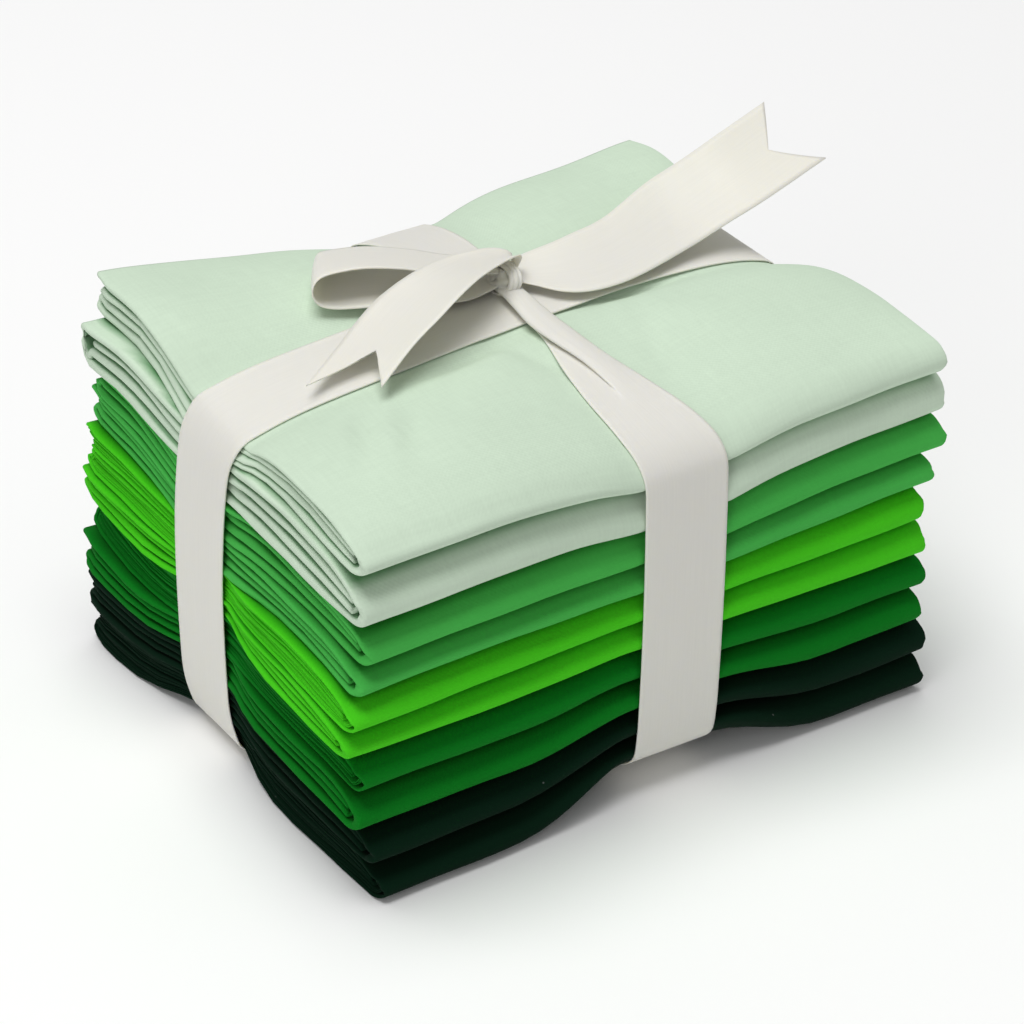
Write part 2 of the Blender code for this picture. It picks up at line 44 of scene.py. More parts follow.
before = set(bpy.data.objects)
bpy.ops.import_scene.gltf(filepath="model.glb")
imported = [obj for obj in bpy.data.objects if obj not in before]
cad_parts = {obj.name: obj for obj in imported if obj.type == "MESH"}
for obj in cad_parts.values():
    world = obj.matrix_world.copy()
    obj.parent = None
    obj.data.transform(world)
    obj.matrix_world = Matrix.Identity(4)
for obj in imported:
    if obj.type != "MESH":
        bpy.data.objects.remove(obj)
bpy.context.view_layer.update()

MM = 0.001
INCH = 25.4
SHIFT = (-75.870, -56.425)

# The cut cloth and its fold in four along both edges
CUT_WIDTH = 22 * INCH
CUT_DEPTH = 18 * INCH
FOLDED_WIDTH = CUT_WIDTH / 4
FOLDED_DEPTH = CUT_DEPTH / 4

# How many cloths there are, and the height that a fold is worked out in before it is pressed in the stack
CLOTH_COUNT = 10
NOMINAL_HEIGHT = 8.5

# The four layers of a cloth folded along its depth, the air between two cloths, the distance from ply to
# ply inside a layer, and half a ply's thickness
LAYER = 1.7
LAYER_GAP = (NOMINAL_HEIGHT - 4 * LAYER) / 3
CLEARANCE = 0.3
PLY_STEP = 0.45
HALF_PLY = 0.15

# Where the two runs of the ribbon lie, and half the ribbon's width
RIBBON_X = 74.5
RIBBON_Y = 65.0
HALF_BAND = 10.0

# The depth of the front fold's round nose, how far it droops at the left and at the right end, and how far
# back the droop reaches
NOSE = 5.0
NOSE_LEAN = 0.36
NOSE_LEAN_RIGHT = 0.12
NOSE_ROLL = 14.0

# How far the cut edge on top, the inner cut edge, the inner layers and the inner nose stay back from the
# outer fold, and how far the outer nose stands out at the right end
TOP_END_SETBACK = 0.6
INNER_END_SETBACK = 3.0
INNER_SETBACK = 0.8
INNER_NOSE_SETBACK = 1.2
INNER_NOSE_HOLLOW = 1.3
RIGHT_NOSE_BULGE = 0.4

# Heights of the boundaries between the pieces at the stack's corners, from the ground up
Level = namedtuple("Level", "front_left front_right back_left back_right")
LEVELS = (
    Level(0.0, 0.0, 0.0, 0.0),
    Level(9.0, 8.8, 10.0, 8.8),
    Level(17.5, 17.6, 19.4, 17.6),
    Level(26.5, 26.4, 28.6, 26.4),
    Level(35.2, 35.2, 39.2, 35.2),
    Level(42.0, 44.0, 45.4, 44.0),
    Level(49.2, 52.8, 56.5, 52.8),
    Level(56.0, 60.0, 64.0, 61.6),
    Level(65.2, 68.4, 71.5, 70.6),
    Level(76.8, 78.6, 82.0, 79.2),
    Level(84.5, 87.0, 91.0, 88.0),
)

# Each cloth's ends and folds off the stack's even box, whether its cut edges lie at the left end, how far
# its inner plies draw back from the front fold, and how much its back rolls into one open loop
Cloth = namedtuple(
    "Cloth", "node colour left_front left_back right front_left front_right back cut_left hollow curl"
)
CLOTHS = (
    Cloth("fat_quarter_10", "forest", 0.6, -4.2, 1.5, -4.2, 0.0, 0.5, True, 0.9, 0.0),
    Cloth("fat_quarter_09", "forest", -1.0, -5.2, 1.1, -3.5, 0.0, -0.6, False, 1.1, 0.0),
    Cloth("fat_quarter_08", "emerald", -3.9, -5.4, -1.1, -2.4, -0.6, 0.4, False, 1.0, 0.0),
    Cloth("fat_quarter_07", "emerald", -2.8, -2.2, -0.5, -2.2, -0.2, 1.0, True, 1.3, 0.0),
    Cloth("fat_quarter_06", "lime", -5.9, -5.0, -1.9, -2.0, -1.0, -0.5, False, 0.9, 0.0),
    Cloth("fat_quarter_05", "lime", -4.8, -3.8, -2.9, -2.8, -0.8, 0.8, True, 1.1, 0.4),
    Cloth("fat_quarter_04", "grass", -3.0, -1.6, -1.3, -1.9, -0.9, -0.2, False, 1.2, 0.0),
    Cloth("fat_quarter_03", "grass", -1.3, -1.6, 1.8, -2.7, -0.2, 0.6, False, 1.5, 0.5),
    Cloth("fat_quarter_02", "mint", -2.6, -4.2, 1.1, -3.2, 0.3, 1.2, False, 0.9, 1.0),
    Cloth("fat_quarter_01", "mint", -1.8, 0.4, 0.0, -1.9, -0.4, 0.0, False, 1.4, 0.0),
)
CORNER_ROUND = 1.3
CORNER_FROM = FOLDED_DEPTH - 8.0
CORNER_TO = FOLDED_DEPTH + 1.0

# How much of a hidden ply's height is taken up, so that none shows through the ply over it, and how far
# in from the ends, from the front fold and from the back that starts
HIDDEN_SINK = 0.3
HIDDEN_FROM_END = (3.0, 11.0)
HIDDEN_FROM_FRONT = (5.0, 13.0)
HIDDEN_FROM_BACK = (3.0, 10.0)
SKIN_PLY = PLY_STEP * 1.4
SKIN_HEIGHT = 3.0

# The open loop at a cloth's back: where its roll starts and how long it is, and how far its inner plies
# stay back
LOOP_START = 6.2
LOOP_ROLL = 3.4
LOOP_SETBACK = 6.0

# How uneven a cloth's edges are: cut edges, folded edges, front folds, backs, ends and hidden plies
FRAYED = 0.22
FOLDED_EDGE = 0.05
FRONT_WAVE = 0.35
BACK_WAVE = 0.5
END_WAVE = 0.45
PLY_WAVE = 0.018
WAVE_BY_HEIGHT = 9.0

# How many steps the fold's runs have along the depth and the width, where they show and where they don't
Steps = namedtuple("Steps", "depth_shown depth_hidden width_shown width_hidden")
TOP_STEPS = Steps(76, 20, 90, 24)
CURLED_STEPS = Steps(46, 28, 40, 24)
INNER_STEPS = Steps(30, 20, 40, 24)

# How much closer together the steps are near a run's ends and where the ribbon crosses it, and over what
# share of the run
END_DENSITY = 2.5
END_STRETCH = 0.04
TIED_DENSITY = 2.0
TIED_STRETCH = 0.16

# How deep the ribbon draws the stack in, along its own line and at the edge it turns over
Draw = namedtuple("Draw", "along at_start at_end start_reach end_reach start_spread end_spread")
TOP_DRAW_X = Draw(3.0, 6.4, 4.6, 19.0, 13.0, 10.0, 8.0)
TOP_DRAW_Y = Draw(2.5, 4.2, 7.5, 13.0, 16.0, 12.0, 20.0)
BASE_DRAW_X = Draw(1.3, 1.5, 3.0, 9.0, 9.0, 22.0, 25.0)
BASE_DRAW_Y = Draw(1.9, 7.4, 4.5, 9.0, 9.0, 33.0, 33.0)

# How softly the hollow starts beside the ribbon, how much higher the stack is in its middle, and how far in
# from its edges it rises
SOFTNESS = 3.0
CROWN = 2.6
EDGE_ROLL = 9.0

# Where the stack's top stands above or below its even shape
Swell = namedtuple("Swell", "x y reach_x reach_y rise")
SWELLS = (
    Swell(36.0, 114.0, 24.0, 24.0, -2.3),
    Swell(119.0, 114.0, 14.0, 18.0, -1.5),
    Swell(0.0, 93.0, 15.0, 12.0, 2.9),
    Swell(0.0, 8.0, 26.0, 12.0, -1.3),
    Swell(139.0, 30.0, 20.0, 18.0, 1.2),
    Swell(139.0, 102.0, 12.0, 12.0, 0.9),
)

# How far the ribbon presses single boundaries out of line at the left end, before and behind it
Pinch = namedtuple("Pinch", "level y rise")
PINCHES = (
    Pinch(1, 82.0, -1.0),
    Pinch(2, 82.0, -2.2),
    Pinch(3, 82.0, -2.8),
    Pinch(4, 82.0, -2.6),
    Pinch(5, 80.0, -1.0),
    Pinch(4, 52.0, 0.4),
    Pinch(5, 55.0, -1.4),
    Pinch(6, 56.0, -3.6),
    Pinch(7, 57.0, -1.6),
    Pinch(8, 57.0, 0.8),
    Pinch(9, 57.0, 1.6),
)
PINCH_REACH = 20.0

# How far the ribbon strays sideways on top, forward at the left and to the left at the back, and where
TOP_WANDER = -6.9
WANDER_MIDDLE = 25.0
WANDER_LENGTH = 47.0
BACK_WANDER = -2.0
WANDER_FADE = 25.0

# How the ribbon rounds the stack's faces: bulge in the middle, and roundings at the top and at the base,
# with the levels they start from
TOP_ROUND_FROM = 8.5
TOP_CORNER_FROM = 9.6
BASE_ROUND_TO = 1.6
Bow = namedtuple("Bow", "bulge top_round top_corner base_round")
LEFT_BOW = Bow(1.2, 1.8, 0.3, 1.0)
RIGHT_BOW = Bow(1.5, 2.5, 2.0, 1.2)
FRONT_BOW = Bow(0.8, 0.5, 0.0, 0.4)
BACK_BOW = Bow(1.0, 1.5, 1.5, 0.8)
FACE_SPREAD = 9.0

# Soft troughs (depth above 0) and ridges (below 0) of the top cloth, each with its centre, its heading in
# degrees and half its length and width
Dent = namedtuple("Dent", "x y heading length width depth")
DENTS = (
    Dent(18.2, 30.0, 60.0, 8.5, 2.4, 1.6),
    Dent(22.0, 26.5, 60.0, 8.0, 2.2, -0.6),
    Dent(26.0, 25.5, 60.0, 9.5, 2.4, 1.6),
    Dent(30.0, 34.0, 12.0, 11.0, 5.5, 1.1),
    Dent(51.0, 46.0, 12.0, 14.0, 2.4, 1.5),
    Dent(44.0, 38.0, 30.0, 11.0, 4.0, 0.6),
    Dent(97.0, 53.8, -2.0, 14.0, 2.2, 1.3),
    Dent(106.0, 44.0, -24.0, 13.0, 4.5, 0.45),
    Dent(64.0, 38.0, -70.0, 13.0, 2.6, 0.6),
    Dent(90.0, 36.0, -112.0, 14.0, 2.8, 0.6),
    Dent(40.0, 20.0, 15.0, 18.0, 7.0, -0.35),
    Dent(118.0, 24.0, -12.0, 20.0, 8.0, -0.4),
    Dent(112.0, 92.0, 20.0, 16.0, 7.0, 0.35),
    Dent(28.0, 92.0, -30.0, 15.0, 6.0, 0.35),
)

# The half bow, each row a station of the ribbon with its two edges
Station = namedtuple("Station", "near_x near_y near_z far_x far_y far_z")
LOOP = (
    Station(75.0, 65.6, 90.0, 75.6, 69.6, 90.0),
    Station(70.6, 64.4, 89.8, 72.4, 73.4, 89.9),
    Station(62.8, 63.4, 89.4, 66.9, 80.9, 89.6),
    Station(55.6, 65.2, 89.9, 60.8, 84.6, 89.8),
    Station(46.8, 69.0, 90.0, 52.4, 88.4, 90.6),
    Station(40.2, 71.6, 90.0, 46.4, 89.6, 91.1),
    Station(36.0, 73.2, 90.3, 43.6, 89.9, 91.3),
    Station(33.3, 74.4, 91.4, 42.5, 90.3, 91.7),
    Station(32.2, 75.1, 93.9, 42.0, 90.6, 92.5),
    Station(33.3, 75.2, 96.5, 42.5, 90.8, 93.3),
    Station(36.2, 74.7, 97.6, 44.4, 90.9, 93.7),
    Station(43.2, 73.1, 97.8, 52.6, 88.6, 93.6),
    Station(51.2, 70.9, 96.5, 60.2, 83.3, 93.3),
    Station(57.1, 69.1, 94.8, 65.2, 78.3, 93.0),
    Station(63.2, 67.2, 93.4, 69.4, 74.6, 92.9),
    Station(69.6, 66.4, 92.4, 72.4, 71.4, 92.3),
    Station(74.0, 66.2, 91.4, 75.0, 69.6, 91.4),
)
LEFT_TAIL = (
    Station(77.2, 67.4, 90.6, 76.8, 69.4, 90.6),
    Station(78.5, 67.3, 92.8, 77.8, 69.6, 92.8),
    Station(78.0, 66.4, 94.6, 76.8, 70.2, 94.4),
    Station(75.2, 64.4, 95.9, 72.6, 71.6, 95.4),
    Station(69.5, 60.7, 97.5, 62.8, 70.9, 96.4),
    Station(60.7, 54.9, 99.3, 52.7, 68.3, 96.6),
    Station(53.1, 50.3, 99.4, 43.3, 66.7, 94.0),
    Station(45.7, 46.9, 97.6, 35.8, 63.8, 91.3),
    Station(37.8, 44.3, 94.6, 28.3, 59.0, 89.6),
    Station(27.3, 39.3, 90.4, 16.4, 50.5, 88.6),
)
RIGHT_TAIL = (
    Station(74.6, 65.0, 90.2, 75.4, 69.6, 91.2),
    Station(78.0, 61.4, 89.8, 80.0, 70.8, 91.9),
    Station(81.6, 56.4, 89.6, 88.4, 70.6, 93.0),
    Station(86.4, 53.6, 89.5, 94.0, 71.2, 93.5),
    Station(93.2, 52.8, 89.6, 99.6, 72.0, 93.8),
    Station(101.6, 54.0, 89.8, 105.4, 73.6, 94.4),
    Station(116.4, 58.0, 90.4, 117.2, 77.5, 96.8),
    Station(127.3, 59.6, 92.6, 127.9, 78.8, 99.5),
    Station(138.2, 60.8, 95.0, 137.7, 80.4, 102.0),
    Station(157.2, 65.4, 98.0, 154.2, 84.9, 104.5),
)
LEFT_NOTCH = 13.5
RIGHT_NOTCH = 9.0

# The knot: the strap's half width and its two radii, how far its top leans, and the lump inside it
KNOT_CENTRE = (73.6, 66.6, 90.3)
KNOT_RADII = (1.55, 5.2, 3.2)
KNOT_LEAN = 1.3
STRAP_INSET = 0.4
CORE_RADII = (2.6, 3.9, 2.1)
CORE_LEAN = 0.6 * KNOT_LEAN

# Where the short run lies on the stack's top and how wide it is there, from front to back
Gather = namedtuple("Gather", "y middle half_width")
GATHERS = (
    Gather(-2.0, 74.5, 10.0),
    Gather(8.0, 73.0, 9.6),
    Gather(19.0, 71.4, 8.0),
    Gather(31.0, 70.9, 5.7),
    Gather(44.0, 71.4, 4.3),
    Gather(57.0, 72.4, 3.3),
    Gather(67.0, 73.6, 2.8),
    Gather(78.0, 73.8, 4.6),
    Gather(92.0, 73.8, 7.2),
    Gather(106.0, 73.6, 8.4),
    Gather(116.0, 73.6, 8.8),
)

# The pleat of the gathered run across its width: place on the flat ribbon, then its place and height where
# it is drawn tight and where it is half open
Pleat = namedtuple("Pleat", "beside tight tight_height half_open half_height")
PLEATS = (
    Pleat(-10.0, -0.55, 0.0, -1.0, 0.0),
    Pleat(-7.0, -0.1, 0.1, -0.55, 0.1),
    Pleat(-4.5, 0.3, 0.2, -0.1, 0.15),
    Pleat(-3.0, 0.1, 0.5, 0.16, 0.3),
    Pleat(-1.5, -0.55, 0.9, 0.04, 0.75),
    Pleat(-0.3, -1.0, 1.2, -0.13, 1.05),
    Pleat(2.0, -0.5, 1.8, 0.14, 1.4),
    Pleat(5.0, 0.2, 1.9, 0.5, 1.3),
    Pleat(8.0, 0.75, 1.4, 0.82, 0.9),
    Pleat(10.0, 1.0, 0.7, 1.0, 0.4),
)

# How far from the knot the pleat opens and how far it is flat, and how much sooner it does behind the knot
PLEAT_OPENING = (14.0, 36.0)
PLEAT_FLATTENING = (34.0, 54.0)
BEHIND_KNOT = 2.6

# The ribbon's height over what it lies on, how much higher the short run crosses the long one and from
# where to where it comes down again
RUN_LIFT = 0.45
CROSSING_LIFT = 0.55
CROSSING_REACH = (11.0, 17.0)
RIBBON_THICKNESS = 0.3

# How many columns and steps the ribbon's pieces have, how many places its line is found at on the top, the
# base and each side, and how far in from the stack's edge it turns down
RUN_COLUMNS = 31
RUN_STEPS = 260
STRIP_COLUMNS = 15
KNOT_COLUMNS = 17
TOP_PLACES = 60
GATHERED_PLACES = 70
BASE_PLACES = 50
SIDE_PLACES = 45
END_MARGIN = 4.0
BACK_MARGIN = 3.0

# How much of each colour channel is left where shade is painted between the layers of cloth, and how a place
# counts
# as open, out of that painted shade: its reach out of the fold's middle, its distance from the end, and how
# far a neighbour covers it
PAINTED_SHADE_SHARE = (0.18, 0.42, 0.2)
SKIN_REACH = (0.87, 0.94)
RIM_REACH = (0.15, 0.95)
COVER_EDGE = (-0.9, 0.7)
COVER_FRONT = (2.4, 6.0)

# The photo's camera in the stack's own frame, and how it was turned
CAMERA_PLACE = (-294.26, -496.69, 440.03)
CAMERA_AZIMUTH = -33.38
CAMERA_ELEVATION = 31.19
CAMERA_ROLL = 0.99
CAMERA_LENS = 126.35
CAMERA_SENSOR = 36.0

# The share of places on the cloth that hold a speck of lint. It shows most on the darkest cloth
LINT = 0.006
DARK_LINT = 0.05


def linear(code):
    """Turn an sRGB hex colour into a linear one."""
    channels = [int(code[start:start + 2], 16) / 255 for start in (1, 3, 5)]
    return tuple(
        value / 12.92 if value <= 0.04045 else ((value + 0.055) / 1.055) ** 2.4
        for value in channels
    )


def add_node(tree, kind, settings=None, links=None):
    """Add a node, set its properties and sockets, and link its inputs to (node, output) pairs."""
    node = tree.nodes.new(kind)
    for key, value in (settings or {}).items():
        if isinstance(key, int) or key in node.inputs:
            node.inputs[key].default_value = value
        else:
            setattr(node, key, value)
    for socket, (source, output) in (links or {}).items():
        tree.links.new(source.outputs[output], node.inputs[socket])
    return node


# Shape of the stack


def fade_out(distance, half_band, spread):
    """Give 1 under the ribbon and a soft fall to 0 beside it."""
    beyond = np.maximum(np.abs(distance) - half_band, 0.0)
    return np.exp((SOFTNESS - np.hypot(beyond, SOFTNESS)) / spread)


def fade_to_flat(distance, half_band, spread):
    """Give 1 under the ribbon and 0 from a set distance on, so that the cloth there lies flat."""
    beyond = np.maximum(np.abs(distance) - half_band, 0.0) / spread
    return (1.0 - np.minimum(beyond, 1.0) ** 2) ** 3


def draw_depth(draw, place, length):
    """Give how deep the ribbon draws the cloth in at a place along its own line."""
    held = np.clip(place, 0.0, length)
    from_start = draw.at_start * np.exp(-held / draw.start_reach)
    return draw.along + from_start + draw.at_end * np.exp((held - length) / draw.end_reach)


def drawn_in(draw_x, draw_y, fade, x, y):
    """Give the hollow that both runs of the ribbon press at one place."""
    spread_x = draw_x.start_spread + (draw_x.end_spread - draw_x.start_spread) * x / FOLDED_WIDTH
    spread_y = draw_y.start_spread + (draw_y.end_spread - draw_y.start_spread) * y / FOLDED_DEPTH
    along_x = draw_depth(draw_x, x, FOLDED_WIDTH) * fade(y - RIBBON_Y, HALF_BAND, spread_x)
    along_y = draw_depth(draw_y, y, FOLDED_DEPTH) * fade(x - RIBBON_X, HALF_BAND, spread_y)
    return (along_x ** 4 + along_y ** 4) ** 0.25


def edge_rise(distance):
    """Give 0 at the stack's edge and 1 well inside it."""
    return 1.0 - np.exp(-np.maximum(distance, 0.0) / EDGE_ROLL)


def level_height(x, y, level):
    """Give the height of a boundary between two pieces. Level 0 is the ground and 10 the top."""
    across = x / FOLDED_WIDTH
    back = y / FOLDED_DEPTH
    corner = LEVELS[level]
    front = corner.front_left + (corner.front_right - corner.front_left) * across
    rear = corner.back_left + (corner.back_right - corner.back_left) * across
    share = level / CLOTH_COUNT
    rise_x = edge_rise(x) * edge_rise(FOLDED_WIDTH - x)
    rise_y = edge_rise(y) * edge_rise(FOLDED_DEPTH - y)
    height = front + (rear - front) * back + CROWN * share ** 2 * rise_x * rise_y
    height = height - share ** 3 * drawn_in(TOP_DRAW_X, TOP_DRAW_Y, fade_out, x, y)
    for swell in SWELLS:
        spread = ((x - swell.x) / swell.reach_x) ** 2 + ((y - swell.y) / swell.reach_y) ** 2
        height = height + share ** 2.5 * swell.rise * np.exp(-spread)
    for pinch in PINCHES:
        if pinch.level == level:
            height = height + pinch.rise * np.exp(-(x ** 2 + (y - pinch.y) ** 2) / PINCH_REACH ** 2)
    return height + (1.0 - share) ** 4 * drawn_in(BASE_DRAW_X, BASE_DRAW_Y, fade_to_flat, x, y)


def wander(x, y, level):
    """Move a place sideways with the ribbon, where the ribbon strays from its straight line."""
    turn = np.exp(-((np.maximum(x, 0.0) - WANDER_MIDDLE) / WANDER_LENGTH) ** 2)
    shift_y = TOP_WANDER * turn * (level / CLOTH_COUNT) ** 6
    shift_x = BACK_WANDER * np.maximum(y - RIBBON_Y, 0.0) / (FOLDED_DEPTH - RIBBON_Y)
    fade_x = np.exp(-(np.maximum(np.abs(x - RIBBON_X) - HALF_BAND, 0.0) / WANDER_FADE) ** 2)
    fade_y = np.exp(-(np.maximum(np.abs(y - RIBBON_Y) - HALF_BAND, 0.0) / WANDER_FADE) ** 2)
    return x + shift_x * fade_x, y + shift_y * fade_y


def bow_depth(bow, level):
    """Give how far the stack's face stands out under the ribbon at a level."""
    out = bow.bulge * np.sin(math.pi * level / CLOTH_COUNT)
    for depth, start in ((bow.top_round, TOP_ROUND_FROM), (bow.top_corner, TOP_CORNER_FROM)):
        out = out - depth * (np.maximum(level - start, 0.0) / (CLOTH_COUNT - start)) ** 2
    return out - bow.base_round * np.maximum(BASE_ROUND_TO - level, 0.0) ** 2


def blend(first, second, share):
    """Give a value between two others."""
    return first + (second - first) * share


def soft_step(low, high, value):
    """Give 0 below one value, 1 above another and an even rise between."""
    share = np.clip((value - low) / (high - low), 0.0, 1.0)
    return share * share * (3.0 - 2.0 * share)


def ripple(a, b, seed):
    """Give a soft uneven wave of about -1 to 1, the same each time."""
    total = np.sin(a * 0.11 + b * 0.05 + seed * 1.7)
    total = total + 0.7 * np.sin(a * 0.043 - b * 0.13 + seed * 2.9)
    total = total + 0.45 * np.sin(a * 0.27 + b * 0.19 + seed * 4.3)
    total = total + 0.3 * np.sin(b * 0.37 - a * 0.09 + seed * 5.1)
    return total / 2.1


def left_end(cloth, y, level):
    """Give the X of a cloth's left end."""
    share = fade_out(y - RIBBON_Y, HALF_BAND, FACE_SPREAD)
    free = blend(cloth.left_front, cloth.left_back, np.clip(y / FOLDED_DEPTH, 0.0, 1.0))
    free = free + CORNER_ROUND * soft_step(CORNER_FROM, CORNER_TO, y)
    return blend(free, -bow_depth(LEFT_BOW, level), share)


def right_end(cloth, y, level):
    """Give the X of a cloth's right end."""
    share = fade_out(y - RIBBON_Y, HALF_BAND, FACE_SPREAD)
    free = cloth.right - CORNER_ROUND * soft_step(CORNER_FROM, CORNER_TO, y)
    return FOLDED_WIDTH + blend(free, bow_depth(RIGHT_BOW, level), share)


def front_fold(cloth, x, level):
    """Give the Y of the nose of a cloth's front fold."""
    share = fade_out(x - RIBBON_X, HALF_BAND, FACE_SPREAD)
    free = blend(cloth.front_left, cloth.front_right, x / FOLDED_WIDTH)
    return blend(free, -bow_depth(FRONT_BOW, level), share)


def back_fold(cloth, x, level):
    """Give the Y of the back of a cloth."""
    share = fade_out(x - RIBBON_X, HALF_BAND, FACE_SPREAD)
    return FOLDED_DEPTH + blend(cloth.back, bow_depth(BACK_BOW, level), share)


def lay(x, y, rise, index):
    """Place points of a cloth. Rise is 0 at its underside and 1 at its top."""
    nose = np.maximum(1.0 - np.maximum(y, 0.0) / NOSE_ROLL, 0.0) ** 2
    lean = blend(NOSE_LEAN, NOSE_LEAN_RIGHT, np.clip(x / FOLDED_WIDTH, 0.0, 1.0))
    leaned = rise * (1.0 - lean * nose)
    low = level_height(x, y, index)
    high = level_height(x, y, index + 1)
    if index > 0:
        low = low + CLEARANCE / 2
    if index + 1 < CLOTH_COUNT:
        high = high - CLEARANCE / 2
    place_x, place_y = wander(x, y, index + leaned)
    return np.stack([place_x, place_y, low + (high - low) * leaned], axis=-1)


# Folding


def run_shares(steps, forward, tied):
    """Give places along a flat run, closer together near its two ends and where the ribbon crosses it."""
    fine = np.linspace(0.0, 1.0, 401)
    density = 1.0 + TIED_DENSITY * np.exp(-((fine - tied) / TIED_STRETCH) ** 2)
    density = density + END_DENSITY * np.exp(-fine / END_STRETCH)
    density = density + END_DENSITY * np.exp(-(1.0 - fine) / END_STRETCH)
    count = np.concatenate([[0.0], np.cumsum((density[1:] + density[:-1]) / 2)])
    shares = np.interp(np.linspace(0.0, count[-1], steps + 1), count, fine).tolist()
    return shares if forward else shares[::-1]


def flat_lengths(table, size):
    """Give the length along the flat cloth at each sample of a fold."""
    place = table[:, 0] * size + table[:, 1]
    steps = np.hypot(np.diff(place), np.diff(table[:, 2]))
    return np.concatenate([[0.0], np.cumsum(steps)])


def depth_path(shown_steps, hidden_steps):
    """Give the fold along the depth: share of the way back, offset, height, normal and part in the nose.

    The strip starts at the back of the top layer and comes forward. It turns round the front nose to the
    bottom layer, goes back, folds up at the back, comes forward and folds up once more inside the nose,
    and ends at the back under the top layer.
    """
    heights = [step * (LAYER + LAYER_GAP) + LAYER / 2 for step in range(4)]
    middle = NOMINAL_HEIGHT / 2
    half = LAYER / 2
    turn = (LAYER + LAYER_GAP) / 2
    samples = []

    def run(steps, height, normal, backward, back_offset):
        for share in run_shares(steps, backward, RIBBON_Y / FOLDED_DEPTH):
            samples.append((share, blend(NOSE, back_offset, share), height, 0.0, normal, 0.0, 0.0))

    def bend(share, centre, radii, start, end, steps, side, outer_nose, inner_nose):
        for step in range(1, steps):
            angle = math.radians(blend(start, end, step / steps))
            offset = centre[0] + radii[0] * math.cos(angle)
            height = centre[1] + radii[1] * math.sin(angle)
            part = math.sin(math.pi * step / steps)
            normal = (side * math.cos(angle), side * math.sin(angle))
            samples.append((share, offset, height, *normal, outer_nose * part, inner_nose * part))

    fold_back = -(LAYER + LAYER_GAP / 2)
    run(shown_steps, heights[3], 1.0, False, -TOP_END_SETBACK)
    bend(0.0, (NOSE, middle), (NOSE - half, middle - half), 90, 270, 16, 1.0, 1.0, 0.0)
    run(hidden_steps, heights[0], -1.0, True, fold_back)
    bend(1.0, (fold_back, (heights[0] + heights[1]) / 2), (turn, turn), -90, 90, 8, 1.0, 0.0, 0.0)
    run(hidden_steps, heights[1], 1.0, False, fold_back)
    bend(0.0, (NOSE, middle), (turn, turn), 270, 90, 8, -1.0, 0.0, 1.0)
    run(hidden_steps, heights[2], -1.0, True, -INNER_END_SETBACK)
    table = np.array(samples)
    return table, flat_lengths(table, FOLDED_DEPTH)


def width_path(shown_steps, hidden_steps, cut_left):
    """Give the fold along the width: share of the way right, offset and ply offset."""
    outer = 1.5 * PLY_STEP
    inner = 0.5 * PLY_STEP
    left_offset = outer + HALF_PLY
    right_offset = -(inner + HALF_PLY)
    samples = []

    def run(steps, ply, rightward):
        for share in run_shares(steps, rightward, RIBBON_X / FOLDED_WIDTH):
            samples.append((share, blend(left_offset, right_offset, share), ply))

    def bend(share, start_offset, centre, radius, side, steps, rising):
        for step in range(1, steps):
            angle = math.pi * step / steps
            ply = centre - radius * math.cos(angle) * rising
            samples.append((share, start_offset + side * radius * math.sin(angle), ply))

    run(hidden_steps, -outer, False)
    bend(0.0, left_offset, 0.0, outer, -1.0, 8, 1.0)
    run(shown_steps, outer, True)
    bend(1.0, right_offset, (outer + inner) / 2, inner, 1.0, 6, -1.0)
    run(hidden_steps, inner, False)
    bend(0.0, left_offset, 0.0, inner, -1.0, 6, -1.0)
    run(hidden_steps, -inner, True)
    table = np.array(samples)
    if cut_left:
        table[:, 0] = 1.0 - table[:, 0]
        table[:, 1] = -table[:, 1]
    return table, flat_lengths(table, FOLDED_WIDTH)


def covered(neighbour, x, y, level):
    """Give 1 where a neighbouring cloth lies on a place and 0 beyond its folds."""
    if neighbour is None:
        return 0.0 * x
    share = soft_step(*COVER_EDGE, x - left_end(neighbour, y, level))
    share = share * soft_step(*COVER_EDGE, right_end(neighbour, y, level) - x)
    share = share * soft_step(*COVER_FRONT, y - front_fold(neighbour, x, level))
    return share * soft_step(*COVER_EDGE, back_fold(neighbour, x, level) - y)


def open_air(index, x, y, height, nose_offset, from_end):
    """Give the mask of painted shade: 1 on the outside of a cloth, which keeps its full colour, and 0 deep
    between its layers, where the colour is painted darker as shade.
    """
    forward = np.maximum(NOSE - nose_offset, 0.0) / NOSE
    reach = np.hypot(forward, (height - NOMINAL_HEIGHT / 2) * 2 / NOMINAL_HEIGHT)
    skin = soft_step(*SKIN_REACH, reach)
    above = CLOTHS[index + 1] if index + 1 < CLOTH_COUNT else None
    below = CLOTHS[index - 1] if index > 0 else None
    upper = height > NOMINAL_HEIGHT / 2
    hidden = np.where(upper, covered(above, x, y, index + 1.0), covered(below, x, y, float(index)))
    rim = 1.0 - soft_step(*RIM_REACH, from_end)
    return np.maximum(skin * (1.0 - hidden), rim)


def dent_depth(x, y):
    """Give how far the soft troughs and ridges take the top cloth down."""
    total = np.zeros_like(x)
    for dent in DENTS:
        angle = math.radians(dent.heading)
        along = (x - dent.x) * math.cos(angle) + (y - dent.y) * math.sin(angle)
        beside = (y - dent.y) * math.cos(angle) - (x - dent.x) * math.sin(angle)
        total += dent.depth * np.exp(-(along / dent.length) ** 2 - (beside / dent.width) ** 2)
    return total


